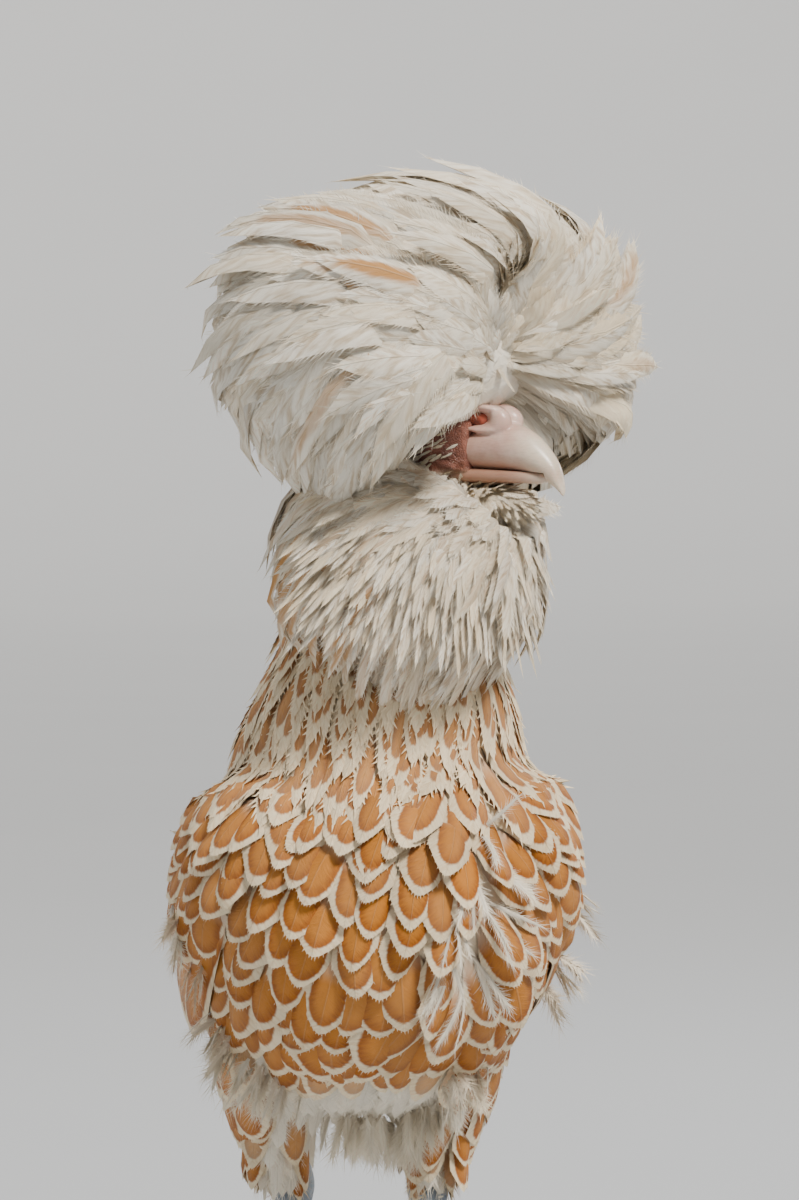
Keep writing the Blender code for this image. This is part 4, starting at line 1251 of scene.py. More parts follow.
def even_ways(count):
    """Directions spread evenly over a sphere."""
    turn = math.pi * (3.0 - math.sqrt(5.0))
    for i in range(count):
        z = 1.0 - 2.0 * (i + 0.5) / count
        r = math.sqrt(1.0 - z * z)
        yield Vector((math.cos(turn * i) * r, math.sin(turn * i) * r, z))


CREST_SPOTS = (
    (-0.0190, 0.3530, 0.0085, 0.85),
    (-0.0081, 0.3430, 0.0070, 0.95),
    (-0.0206, 0.3100, 0.0050, 0.50),
    (0.0669, 0.3378, 0.0060, 0.80),
    (0.0656, 0.3156, 0.0050, 0.35),
)
CREST_LAYERS = ((1.0, 1.0), (0.92, 0.60), (0.80, 0.35), (0.64, 0.20))


def way_unwrap(way):
    """The place of a direction on the skull's own unwrap."""
    turn, rise = way_angles(way)
    return across_unwrap(turn), 0.5 + rise / 180.0 * 0.94


def crest_patch(draw, reach, near, tip):
    """How buff a crest feather's middle is, by the place of its outer part."""
    if tip.y < -0.050 and reach > 0.85:
        spots = [
            strength * (1.0 - eased(math.hypot(near.x - x, near.z - z), size * 0.6, size))
            for x, z, size, strength in CREST_SPOTS
        ]
        return max(spots)
    return draw.uniform(0.3, 0.8) if draw.random() < 0.06 else 0.0


def crest_plumes(settings, draw):
    """The crest's feathers in layers, flowing from the pole over the bill out to their tips."""
    plumes = {name: Plumes(CREST_PLUME) for name in ("crest_near", "crest_far")}
    main_pole = head_way(PARTING_TURN, settings.crest_pole)
    middle = on_head(CREST_AT[0], 0.0, CREST_AT[1] - 0.010)
    for reach, share in CREST_LAYERS:
        for way in even_ways(int(settings.crest_feathers * share)):
            turn, rise = way_angles(way)
            if rise < crest_floor(turn) + 3.0:
                continue
            swirl = noise.noise(way * 1.9 + Vector((3.0, 1.0, 7.0)))
            way = (way + wobble(draw, 0.04)).normalized()
            pole = head_way(PARTING_TURN + turn * 0.10, settings.crest_pole)
            apart = way.angle(pole)
            if apart < CREST_SOURCE_GAP:
                continue
            root = core_place(pole.slerp(way, ROOT_SHARE), CREST_CORE, CREST_CORE_AT, 0.80)
            tuft, lay = crest_tuft(way, main_pole)
            arch = 0.42 * eased(apart, 0.7, 2.0) * (1.0 - eased(rise, 0.0, 60.0))
            arch += 0.42 * eased(-rise, 8.0, 34.0) * eased(-turn, 10.0, 45.0)
            full = reach * draw.uniform(0.90, 0.985) + tuft
            lock = noise.noise(way * 5.5 + Vector((9.0, 4.0, 2.0)))
            curl = draw.uniform(-0.03, 0.07) + 0.10 * max(lock, 0.0) + 0.03 * swirl
            curl += draw.uniform(0.02, 0.12) * bump(way.y, -0.05, 0.35) * eased(rise, -30.0, 20.0)
            full -= 0.05 * eased(rise, 45.0, 75.0)
            lean = swirl * 0.25 + lock * 0.20 + draw.gauss(0.0, 0.05) + lay
            path = flowing_path(pole, way, root, crest_edge, full, curl, lean, arch)
            outwards = [(point - middle).normalized() for point in path]
            tip = path[-1].copy()
            patch = crest_patch(draw, reach, path[4], tip)
            warmth = blend(0.42, 0.85, eased(tip.x, 0.020, 0.060)) + 0.3 * (1.0 - eased(apart, 0.3, 0.8))
            tint = (patch, min(warmth, 1.0), draw.random())
            droop = UP * (max(-way.z + 0.10, 0.0) * 0.005)
            path[-1] -= droop
            path[-2] -= droop * 0.5
            width = settings.crest_width * draw.uniform(0.8, 1.2) * blend(0.50, 1.0, eased(apart, 0.40, 0.85))
            laid = plumes["crest_near" if tip.y < HEAD_CENTRE.y else "crest_far"]
            laid.add(path, outwards, width, tint, way_unwrap(way), draw.gauss(0.10, 0.30))
    return plumes


def crest_tufts(settings, draw):
    """The short tufts of brow, crown and nape that fill the gaps between the plumes."""
    laid = Plumes(LOCK)
    pole = head_way(PARTING_TURN, settings.crest_pole)
    for way in even_ways(3600):
        if way.angle(pole) > math.radians(30.0) or way_angles(way)[1] < -12.0:
            continue
        root = core_place(way, CREST_CORE, CREST_CORE_AT, 0.96)
        heading = (way - pole).normalized() + way * draw.uniform(0.2, 0.7) + wobble(draw, 0.15)
        length = draw.uniform(0.006, 0.011)
        spot, widths = way_unwrap(way), (0.0020, 0.0034)
        laid.tuft(draw, root, heading, way, length, widths, spot, lacing=0.9, roll=0.3)
    for way in even_ways(960):
        if way.angle(pole) < math.radians(70.0) or way_angles(way)[1] < -50.0:
            continue
        root = core_place(way, CROWN, CROWN_AT, 0.98)
        heading = way * way.dot(pole) - pole + way * draw.uniform(0.05, 0.35) + wobble(draw, 0.14)
        heading -= UP * 1.3 * eased(way.angle(pole), 1.5, 2.6)
        length = draw.uniform(0.011, 0.018)
        spot, widths = way_unwrap(way), (0.0036, 0.0056)
        laid.tuft(draw, root, heading, way, length, widths, spot, lacing=0.7, roll=0.2)
    neck = neck_form()
    for _ in range(170):
        along, angle = draw.uniform(0.80, 0.99), math.radians(draw.uniform(75.0, 285.0))
        root, outward = neck.over(along, angle, 0.0006), neck.normal(along, angle)
        heading = outward * 0.22 - UP + wobble(draw, 0.10)
        length, widths, spot = draw.uniform(0.012, 0.019), (0.0034, 0.0050), coat_unwrap(root)
        laid.tuft(draw, root, heading, outward, length, widths, spot, lacing=0.9, roll=0.2, buff=0.3)
    return laid


def build_crest(settings):
    """The globe of crest feathers, in layers from the skull out to their tips."""
    draw = random.Random(SEED + 11)
    plumes = crest_plumes(settings, draw)
    tufts = crest_tufts(settings, draw)
    # The long root_reach paints shade toward each feather's covered base, over its down.
    finish = feather_finish("crest_silk", settings, silky=True, root_reach=0.60)
    for order, (name, laid) in enumerate(plumes.items()):
        batches = [laid, tufts] if name == "crest_far" else [laid]
        plume_piece(name, batches, finish, SEED + 20 + order, "crest_feathers", "crest")


def beard_edge(way, share):
    """The beard's outline in a direction: full at the cheeks, narrow below."""
    ahead, aside, above = head_axes()
    low = eased(-way.dot(above), 0.15, 0.95)
    turn, rise = way_angles(way)
    chin = 0.16 * bump(turn, 12.0, 42.0) * bump(rise, 36.0, 20.0)
    out = (ahead * way.dot(ahead) + aside * way.dot(aside)) * BEARD_RADIUS * (1.0 - 0.52 * low + chin)
    out += above * way.dot(above) * BEARD_DROP + ahead * 0.0060 * low
    return on_head(BEARD_AT[0], 0.0, BEARD_AT[1]) + out * share


def face_bristles(draw):
    """The shortest feathers of all, thin on the face between bill, crest and beard."""
    ahead, _, above = head_axes()
    bm = bmesh.new()
    head_form().loft(bm, 30, 40)

    def spacing(place):
        forward, _, up = off_head(place)
        return 0.0015 if -0.012 < forward < 0.025 and -0.0170 < up < 0.012 else 0.0

    surface = BVHTree.FromBMesh(bm)
    laid = Plumes(LOCK)
    for place in scattered(bm, spacing, SEED + 9):
        found, normal, _, _ = surface.find_nearest(place)
        forward, _, up = off_head(found)
        if math.hypot(forward - EYE_FORWARD, up - EYE_HEIGHT) < EYE_RADIUS * 1.25:
            continue
        heading = ahead * -1.0 - above * 0.55 + normal * 0.38 + wobble(draw, 0.12)
        length = draw.uniform(0.8, 1.2) * blend(0.0110, 0.0036, eased(forward, -0.004, 0.022))
        spot = way_unwrap((found - HEAD_CENTRE).normalized())
        widths = (length * 0.20, length * 0.28)
        laid.tuft(draw, found, heading, normal, length, widths, spot, lacing=1.0)
    bm.free()
    return laid


BEARD_LAYERS = ((1.0, 1.0), (0.88, 0.5), (0.74, 0.3))


def beard_locks(settings, draw):
    """The muffs on the cheeks and the beard, in layers flowing back from the chin."""
    laid = Plumes(LOCK)
    jaw = head_way(0.0, 35.0)
    middle = on_head(BEARD_AT[0], 0.0, BEARD_AT[1])
    for reach, share in BEARD_LAYERS:
        for way in even_ways(int(settings.beard_locks * share)):
            turn, rise = way_angles(way)
            limit = 24.0 + 18.0 * eased(abs(turn), 25.0, 60.0) - 36.0 * eased(abs(turn), 90.0, 150.0)
            behind = (turn > 138.0 or turn < -166.0) and rise > -70.0
            if rise > limit or behind or way.angle(jaw) < BEARD_SOURCE_GAP:
                continue
            way = (way + wobble(draw, 0.05)).normalized()
            root = core_place(jaw.slerp(way, ROOT_SHARE), BEARD_CORE, BEARD_CORE_AT, 0.80)
            swirl = noise.noise(way * 2.6 + Vector((5.0, 2.0, 1.0)))
            clump = noise.noise(way * 6.5 + Vector((1.0, 8.0, 4.0)))
            full = reach * draw.uniform(0.88, 0.98) + 0.07 * clump
            curl = draw.uniform(-0.03, 0.08) + 0.10 * max(clump, 0.0)
            hang = draw.uniform(0.002, 0.012) * eased(-way.z, -0.2, 0.5)
            hang *= 1.0 - 0.5 * eased(-way.z, 0.75, 1.0)
            lean = swirl * 0.35 + draw.gauss(0.0, 0.07)
            path = flowing_path(jaw, way, root, beard_edge, full, curl, lean, hang=hang)
            outwards = [(point - middle).normalized() for point in path]
            tip = path[-1]
            streaked = eased(-tip.x, 0.004, 0.026) * eased(0.266 - tip.z, 0.0, 0.020)
            streaked *= eased(-tip.y, 0.040, 0.060)
            tint = (draw.uniform(0.0, 0.25) + 0.75 * streaked, 0.55, draw.random())
            width = settings.lock_width * draw.uniform(0.8, 1.2)
            laid.add(path, outwards, width, tint, way_unwrap(way), draw.gauss(0.0, 0.20))
    return laid


def throat_tufts(draw):
    """The short locks that cover the beard's core under the bill."""
    laid = Plumes(LOCK)
    chin = beard_edge(head_way(8.0, 52.0), 1.05)
    for way in even_ways(2200):
        turn, rise = way_angles(way)
        if rise < -12.0 or rise > 78.0 or turn < -95.0 or turn > 115.0:
            continue
        root = beard_edge(way, 0.80)
        off = root - chin
        heading = off / max(off.length, 0.014) + way * draw.uniform(0.15, 0.45)
        heading -= UP * draw.uniform(0.05, 0.35)
        length, widths, spot = draw.uniform(0.013, 0.022), (0.0024, 0.0038), way_unwrap(way)
        laid.tuft(draw, root, heading, way, length, widths, spot, lacing=0.8, roll=0.2, buff=0.15, sag=0.004)
    return laid


def add_chin_bristles(bristles, draw):
    """Bristles over the down in the angle of the jaw."""
    ahead, _, above = head_axes()
    for way in even_ways(620):
        root = core_place(way, CHIN, CHIN_AT)
        heading = ahead * 0.30 - above * 0.45 + way * 0.55 + wobble(draw, 0.16)
        length = draw.uniform(0.0045, 0.0085)
        bristles.tuft(draw, root, heading, way, length, (0.0016, 0.0026), way_unwrap(way), lacing=0.8)


def build_beard(settings):
    """The muffs, the beard and throat under the bill, and the bristles of the face."""
    draw = random.Random(SEED + 5)
    locks = beard_locks(settings, draw)
    throat = throat_tufts(draw)
    bristles = face_bristles(draw)
    add_chin_bristles(bristles, draw)
    # The long root_reach paints shade toward each feather's covered base, over its down.
    finish = feather_finish("beard_silk", settings, silky=True, root_reach=0.60)
    plume_piece("beard_locks", [locks], finish, SEED + 30, "crest_feathers", "beard")
    plume_piece("face_tufts", [throat, bristles], finish, SEED + 31, "crest_feathers", "beard")


class WingTier(NamedTuple):
    """Feathers of one tier, from the leading edge back; angles in degrees round the torso."""

    count: int
    root_along: tuple
    root_angle: tuple
    tip_along: tuple
    tip_angle: tuple
    lift: tuple
    width: float
    buff: float


WING_TIERS = (
    WingTier(15, (0.58, 0.42), (100.0, 70.0), (0.15, 0.16), (88.0, 66.0), (0.0022, 0.0026), 0.0128, 0.92),
    WingTier(14, (0.66, 0.48), (106.0, 70.0), (0.38, 0.28), (110.0, 68.0), (0.0044, 0.0048), 0.0130, 1.0),
)


def build_wing(side, word, finish):
    """A folded wing: flight feathers under a tier of coverts."""
    torso = torso_form()
    draw = random.Random(SEED + 40 + side)
    laid = Plumes(QUILL)
    for tier in WING_TIERS:
        for i in range(tier.count):
            t = i / (tier.count - 1)
            start = (blend(*tier.root_along, t), blend(*tier.root_angle, t))
            end = (
                blend(*tier.tip_along, t) + draw.uniform(-0.012, 0.012),
                blend(*tier.tip_angle, t) + draw.uniform(-2.0, 2.0),
            )
            path, outwards = [], []
            for s in SHARES:
                along = blend(start[0], end[0], s)
                angle = side * math.radians(blend(start[1], end[1], s))
                lift = blend(tier.lift[0] * 0.4, tier.lift[1] + 0.0006, s)
                path.append(torso.over(along, angle, lift))
                outwards.append(torso.normal(along, angle))
            tint = (tier.buff * draw.uniform(0.85, 1.0), 0.26 * draw.uniform(0.9, 1.1), draw.random())
            spot = (across_unwrap(start[1] * side), start[0])
            width = tier.width * draw.uniform(0.92, 1.08)
            laid.add(path, outwards, width, tint, spot, side * -0.14)
    plume_piece("wing_plumes_" + word, [laid], finish, SEED + 50 + side, "flight_feathers", "wing_" + word)


class TailTier(NamedTuple):
    """Feathers of one tier on each side of the tail, spaced in steps of a main feather."""

    step: float
    length: float
    width: float
    buff: float


TAIL_MAIN = 6
TAIL_TIERS = (
    TailTier(0.5, 0.0920, 0.0175, 0.9),
    TailTier(0.5, 0.0660, 0.0160, 1.0),
    TailTier(0.45, 0.0480, 0.0140, 1.0),
    TailTier(0.4, 0.0330, 0.0120, 1.0),
)


def build_tail(finish):
    """Two leaves of main feathers, covered at their roots by tiers of coverts."""
    aside, rear = level_axes()
    draw = random.Random(SEED + 60)
    laid = Plumes(QUILL)
    for number, tier in enumerate(TAIL_TIERS):
        count = int((TAIL_MAIN - 1) / tier.step) + 1
        for side, i in product((-1, 1), range(count)):
            order = i * tier.step
            share = order / (TAIL_MAIN - 1)
            lift = math.radians(blend(40.0, 14.0, share) - 2.0 * number)
            spread = math.radians(blend(2.0, 15.0, share))
            out = aside * side
            along = rear * math.cos(lift) + UP * math.sin(lift)
            heading = along * math.cos(spread) + out * math.sin(spread)
            off = 0.0012 + 0.0019 * order + 0.0012 * number
            start = in_body(side * off, 0.0620, 0.1590 - 0.0024 * order)
            full = heading * (tier.length * (1.0 - 0.12 * share) * draw.uniform(0.96, 1.02))
            path = bent_path(start, start + full * 0.5 + UP * 0.004 + out * 0.001, start + full)
            outward = (out * 0.90 + UP * 0.42).normalized()
            tint = (tier.buff * draw.uniform(0.85, 1.0), 0.22, draw.random())
            spot = (0.5 + side * (0.03 + order * 0.07), 0.1 + 0.22 * number)
            laid.add(path, [outward] * STATIONS, tier.width, tint, spot, draw.gauss(0.0, 0.05))
    plume_piece("tail_plumes", [laid], finish, SEED + 61, "flight_feathers", "tail")


LID_TILT = 0.86


def lid_rim(bm, side, radius, width, thick):
    """Adds a raised ring of the eyelids round an eye."""
    ahead, aside, above = head_axes()
    centre = on_head(EYE_FORWARD, side * (EYE_OUT + 0.0024), EYE_HEIGHT)
    around, tube = 40, 10
    rings = []
    for i in range(around):
        angle = 2.0 * math.pi * i / around
        spoke = ahead * math.cos(angle) + above * math.sin(angle) * LID_TILT
        middle = centre + spoke * radius + aside * side * (0.0010 - 0.0007 * abs(math.cos(angle)))
        made = bmesh.ops.create_circle(bm, segments=tube, radius=1.0)["verts"]
        for j, corner in enumerate(made):
            turn = 2.0 * math.pi * j / tube
            corner.co = middle + spoke * math.cos(turn) * width + aside * side * math.sin(turn) * thick
        rings.append(made)
    bridge(bm, rings + rings[:1])


def head_skin():
    """The bare head: skull, sockets, lids, brow, lobes and the folds round the gape."""
    ahead, aside, above = head_axes()
    bm = bmesh.new()
    head_form().loft(bm, 40, 56)
    for side in (-1, 1):
        lid_rim(bm, side, EYE_RADIUS * 0.86, 0.0010, 0.0010)
        lid_rim(bm, side, EYE_RADIUS * 1.08, 0.0011, 0.0008)
        brow = (EYE_FORWARD + 0.001, side * (EYE_OUT + 0.0010), EYE_HEIGHT + 0.0052)
        add_head_balls(bm, (
            (brow, (0.0070, 0.0024, 0.0016)),
            ((-0.0110, side * 0.0138, -0.0075), (0.0042, 0.0018, 0.0056)),
            ((0.0190, side * 0.0078, -0.0098), (0.0052, 0.0022, 0.0022)),
            ((0.0150, side * 0.0092, -0.0125), (0.0060, 0.0020, 0.0018)),
            ((0.0200, side * 0.0080, -0.0060), (0.0040, 0.0018, 0.0016)),
        ))
    head = melted(bm, 0.00048, 3)
    socket = EYE_RADIUS - 0.00105
    for corner in head.verts:
        place = corner.co.copy()
        for side in (-1, 1):
            eye = on_head(EYE_FORWARD, side * EYE_OUT, EYE_HEIGHT)
            away = place - eye
            flat = math.hypot(away.dot(ahead), away.dot(above) / LID_TILT)
            if away.dot(aside) * side > 0 and flat < EYE_RADIUS * 0.80:
                corner.co = eye + away.normalized() * min(away.length, socket)
        forward, _, up = off_head(corner.co)
        creases = noise.noise(corner.co * 420.0) * 0.00022 + noise.noise(corner.co * 1100.0) * 0.00010
        gape = bump(forward, 0.018, 0.009) * bump(up, -0.010, 0.007)
        across_folds = (up + forward * 0.35) * 2600.0 + noise.noise(corner.co * 300.0) * 2.0
        corner.co += corner.normal * (creases + math.sin(across_folds) * 0.00016 * gape)
    head.normal_update()
    return head


def build_skin(settings):
    """One skin under the whole coat, with the bare head at its top."""
    body = melted(body_without_wings(), 0.0022, 5)
    depth = settings.coat_depth
    for corner in body.verts:
        share = eased(corner.co.z, HOCK_HEIGHT, HOCK_HEIGHT + 0.030)
        top = 1.0 - eased(corner.co.z, 0.262, 0.285)
        corner.co -= corner.normal * depth * (0.25 + 0.75 * share) * (0.35 + 0.65 * top)
    mesh = bpy.data.meshes.new("body")
    body.to_mesh(mesh)
    body.free()
    joined = head_skin()
    joined.from_mesh(mesh)
    bpy.data.meshes.remove(mesh)
    bare = []
    for corner in joined.verts:
        forward, _, _ = off_head(corner.co)
        bare.append(eased(corner.co.z, 0.284, 0.289) * eased(forward, -0.020, -0.012))
    mesh = finished_mesh(joined)
    vertex_values(mesh, "bare", bare)
    nodes = ("torso", "neck", "head", "thigh_left", "thigh_right")
    hen_piece("skin", mesh, skin_finish(settings), "face_skin", *nodes)


def build_head_down(settings):
    """The dense down that fills the crest and the beard behind their feathers."""
    bm = bmesh.new()
    cores = ((CREST_CORE_AT, CREST_CORE), (CROWN_AT, CROWN), (BEARD_CORE_AT, BEARD_CORE))
    under_jaw = ((JAW_DOWN_AT, JAW_DOWN), (CHIN_AT, CHIN))
    for balls, segments, rings in ((cores, 48, 32), (under_jaw, 32, 24)):
        placed_balls = [((forward, 0.0, up), radii) for (forward, up), radii in balls]
        add_head_balls(bm, placed_balls, segments, rings)
    for corner in bm.verts:
        corner.co += (corner.co - HEAD_CENTRE).normalized() * noise.noise(corner.co * 160.0) * 0.0015
    hen_piece("head_down", finished_mesh(bm), down_finish(settings), "crest_feathers")


def down_finish(settings):
    """Soft down, paler on its tufts than between them."""
    finish = Finish("crest_down", 0.9)
    tufts = finish.grain(finish.place(), 260.0, 5.0, 0.8)
    finish.paint("Base Color", finish.mix(tufts.step(0.3, 0.7), settings.down, settings.crest_white))
    finish.raised(tufts, 0.8, 0.0015)
    return finish.material


def upper_bill_form():
    """The upper bill, from the face to the tip of its hook."""
    shape = (
        (0.0170, -0.0075, 0.0072, 0.0022),
        (0.0240, -0.0055, 0.0071, 0.0048),
        (0.0310, -0.0040, 0.0066, 0.0064),
        (0.0380, -0.0037, 0.0060, 0.0066),
        (0.0440, -0.0050, 0.0050, 0.0057),
        (0.0490, -0.0078, 0.0037, 0.0045),
        (0.0525, -0.0112, 0.0024, 0.0034),
        (0.0545, -0.0150, 0.0010, 0.0016),
    )
    return form_on_head(shape, 1.9)


def lower_bill_form():
    """The lower bill, which ends short of the hook."""
    shape = (
        (0.0170, -0.0124, 0.0068, 0.0024),
        (0.0250, -0.0121, 0.0063, 0.0023),
        (0.0330, -0.0118, 0.0055, 0.0021),
        (0.0410, -0.0115, 0.0042, 0.0019),
        (0.0470, -0.0116, 0.0026, 0.0016),
        (0.0500, -0.0115, 0.0012, 0.0008),
    )
    return form_on_head(shape, 2.4)


MOUTH_HEIGHT = -0.0100
HOOK_FROM = 0.0495
NOSTRIL_AT = (0.0300, 0.0036)


def bill_half(bm, name, node, finish, upper):
    """Finishes one half of the bill: the mouth line is pressed flat, tip and rim are marked."""
    tips, rims = [], []
    for corner in bm.verts:
        forward, left, up = off_head(corner.co)
        tips.append(eased(forward, 0.036, 0.050))
        if upper:
            if up < MOUTH_HEIGHT and forward < HOOK_FROM:
                up = MOUTH_HEIGHT + (up - MOUTH_HEIGHT) * 0.04
            slit = math.hypot((forward - NOSTRIL_AT[0]) / 0.0036, (up - NOSTRIL_AT[1]) / 0.0022)
            if abs(left) > 0.0024:
                left -= math.copysign(0.0030 * math.exp(-slit * slit), left)
            gape = 0.75 - 0.75 * eased(forward, 0.020, 0.033)
            rims.append(max(bump(up, MOUTH_HEIGHT, 0.0030), gape))
        else:
            if up > MOUTH_HEIGHT - 0.0002:
                up = MOUTH_HEIGHT - 0.0001 - (up - MOUTH_HEIGHT) * 0.02
            rims.append(1.0)
        corner.co = on_head(forward, left, up)
    mesh = finished_mesh(bm)
    vertex_values(mesh, "tip", tips)
    vertex_values(mesh, "rim", rims)
    hen_piece(name, mesh, finish, "bill_horn", node)


def build_bill(settings):
    """The hooked upper bill with its open nostril knobs, and the lower bill below."""
    finish = horn_finish("bill_horn", settings, 1.0)
    bm = bmesh.new()
    upper_bill_form().loft(bm, 48, 40)
    for side in (-1, 1):
        add_head_balls(bm, (
            ((0.0325, side * 0.0032, 0.0030), (0.0060, 0.0036, 0.0048)),
            ((0.0300, side * 0.0046, 0.0064), (0.0052, 0.0024, 0.0013)),
            ((0.0306, side * 0.0060, 0.0008), (0.0046, 0.0010, 0.0010)),
        ))
    bill_half(melted(bm, 0.00034, 3), "bill_top", "bill_upper", finish, upper=True)
    bm = bmesh.new()
    lower_bill_form().loft(bm, 40, 32)
    bill_half(melted(bm, 0.00034, 2), "bill_bottom", "bill_lower", finish, upper=False)
    bm = bmesh.new()
    for side in (-1, 1):
        add_head_balls(bm, (
            ((0.0300, side * 0.0030, 0.0036), (0.0034, 0.0013, 0.0021)),
            ((0.0290, side * 0.0034, 0.0036), (0.0034, 0.0020, 0.0022)),
        ))
    flesh = flesh_finish("nostril_flesh", settings.comb_red, settings.face_dark)
    hen_piece("nostril_lining", finished_mesh(melted(bm, 0.0003, 2)), flesh, "comb_skin")


def build_comb(settings):
    """The tiny two-horned comb in front of the crest."""
    bm = bmesh.new()
    ahead, aside, _ = head_axes()
    for side in (-1, 1):
        foot, tip = on_head(0.0255, side * 0.0012, 0.0030), on_head(0.0265, side * 0.0052, 0.0116)
        swell = ((0.0, 0.8), (0.35, 1.0), (0.75, 0.7), (1.0, 0.2))
        stations = [(blend(foot, tip, share), 0.0019 * r, 0.0019 * r) for share, r in swell]
        Form(stations, aside, ahead).loft(bm, 12, 16)
    add_head_balls(bm, [((0.0255, 0.0, 0.0045), (0.0022, 0.0036, 0.0020))])
    comb = melted(bm, 0.00028, 2)
    for corner in comb.verts:
        corner.co += corner.normal * noise.noise(corner.co * 900.0) * 0.00025
    flesh = flesh_finish("comb_flesh", settings.comb_red, settings.face_red)
    hen_piece("comb_horns", finished_mesh(comb), flesh, "comb_skin", "comb")


def build_eyes(settings):
    """Two eyes with a clear bulge over the iris."""
    ahead, aside, above = head_axes()
    finish = eye_finish(settings)
    for side, word in SIDES:
        bm = bmesh.new()
        centre = on_head(EYE_FORWARD, side * EYE_OUT, EYE_HEIGHT)
        add_ball(bm, centre, (EYE_RADIUS,) * 3, (ahead, above, aside), 40, 28)
        values = []
        for corner in bm.verts:
            way = (corner.co - centre).normalized()
            off = math.acos(max(min(way.dot(aside * side), 1.0), -1.0)) / math.radians(48.0)
            corner.co += way * 0.0003 * (1.0 - eased(off, 0.6, 1.0))
            values.append(off)
        mesh = finished_mesh(bm)
        vertex_values(mesh, "iris", values)
        hen_piece("eye_ball_" + word, mesh, finish, "eye", "eye_" + word)


def shank_form(side):
    """The bare shank: share of the way down, half width and half depth."""
    hock = hock_place(side)
    shape = (
        (-0.05, 0.0040, 0.0042),
        (0.05, 0.0062, 0.0066),
        (0.16, 0.0052, 0.0058),
        (0.40, 0.0042, 0.0046),
        (0.70, 0.0042, 0.0044),
        (0.90, 0.0050, 0.0052),
        (1.00, 0.0046, 0.0048),
    )
    stations = [(blend(hock, foot_place(side, 0.0100), s), w, d) for s, w, d in shape]
    return Form(stations, (1, 0, 0), (0, -1, 0))


def toe_radius(share):
    """A toe's radius along its length, swelling at each joint."""
    return TOE_RADIUS * (1.0 - 0.34 * share) * (1.0 + 0.10 * math.sin(share * 6.0 * math.pi))


def toe_heading(side, turn):
    angle = math.radians(turn)
    return Vector((-side * math.sin(angle), -math.cos(angle), 0.0))


def toe_form(side, turn, length):
    """A toe from the middle of the foot, arched a little, its sole on the floor."""
    start, heading = foot_place(side, 0.0), toe_heading(side, turn)
    stations = []
    for i in range(9):
        share = i / 8
        radius = toe_radius(share)
        arch = 0.0022 * (1.0 - share) ** 2
        centre = start + heading * length * share
        centre.z = radius - SOLE_CUT + arch
        stations.append((centre, radius, radius + arch * 0.6))
    return Form(stations, heading.cross(UP), UP)


def add_scutes(bm, form, count, run, share, angle, reach, lift):
    """Adds a row of overlapping plates along a form, reaching round it from an angle in degrees."""
    angle, reach = math.radians(angle), math.radians(reach)
    for i in range(count):
        along, span = blend(*run, (i + 0.5) / count), share / count
        for corner in bmesh.ops.create_grid(bm, x_segments=6, y_segments=4, size=1.0)["verts"]:
            x, y = corner.co.x, corner.co.y
            swell = lift * (1.0 - 0.75 * x * x) * (0.55 + 0.45 * y)
            edge = 1.0 - 0.18 * x * x
            corner.co = form.over(along + span * y * edge, angle + reach * x, swell - 0.0001)


def scaled_piece(bm, first_plate, name, node, finish):
    """Finishes a piece whose corners from first_plate on are raised plates."""
    marks = [float(i >= first_plate) for i in range(len(bm.verts))]
    mesh = finished_mesh(bm)
    vertex_values(mesh, "plate", marks)
    hen_piece(name, mesh, finish, "leg_scales", node)


def build_leg(side, word, finish):
    """A bare shank, with broad plates in front and small ones behind."""
    shank = shank_form(side)
    bm = bmesh.new()
    shank.loft(bm, 40, 32)
    for corner in bm.verts:
        off = (corner.co - hock_place(side)).normalized()
        corner.co += off * noise.noise(corner.co * 500.0) * 0.0001
    plates = len(bm.verts)
    front = {"angle": 8.0 * side, "reach": 62.0, "lift": 0.0008}
    behind = {"angle": 180.0, "reach": 46.0, "lift": 0.0006}
    add_scutes(bm, shank, 17, run=(0.14, 0.98), share=0.55, **front)
    add_scutes(bm, shank, 14, run=(0.18, 0.96), share=0.50, **behind)
    scaled_piece(bm, plates, "leg_" + word, "shank_" + word, finish)


def build_toes(side, word, finish):
    """Four toes from one foot, flat on the floor, with plates along their tops."""
    bm = bmesh.new()
    level = (Vector((1, 0, 0)), Vector((0, 1, 0)), UP)
    add_ball(bm, foot_place(side, 0.0058), (0.0070, 0.0074, 0.0068), level)
    for _, turn, length in TOES:
        toe_form(side, turn, length).loft(bm, 32, 20)
    foot = melted(bm, 0.00070, 3)
    for corner in foot.verts:
        corner.co.z = max(corner.co.z, 0.0)
    plates = len(foot.verts)
    for _, turn, length in TOES:
        toe, count = toe_form(side, turn, length), int(length / TOE_PLATE)
        add_scutes(foot, toe, count, run=(0.16, 0.99), share=0.56, angle=0.0, reach=58.0, lift=0.0005)
    scaled_piece(foot, plates, "toes_" + word, "foot_" + word, finish)


def build_claw(side, word, toe, turn, length, finish):
    """A curved claw at the end of a toe."""
    start, heading = foot_place(side, 0.0), toe_heading(side, turn)
    end = start + heading * (length + 0.00035)
    claw_length = 0.0085 if toe != "hind" else 0.0070
    height = toe_radius(1.0) - SOLE_CUT + 0.0006
    stations = []
    for share, radius in ((0.0, 0.0019), (0.3, 0.0019), (0.6, 0.0014), (0.85, 0.0008), (1.0, 0.0003)):
        centre = end + heading * claw_length * share
        centre.z = height + 0.0010 * math.sin(share * math.pi) - 0.0014 * share * share
        stations.append((centre, radius * 0.8, radius))
    bm = bmesh.new()
    Form(stations, heading.cross(UP), UP).loft(bm, 20, 16)
    count = len(bm.verts)
    mesh = finished_mesh(bm)
    vertex_values(mesh, "tip", [i / count for i in range(count)])
    vertex_values(mesh, "rim", [0.0] * count)
    hen_piece(f"nail_{word}_{toe}", mesh, finish, "claw_horn", f"claw_{word}_{toe}")


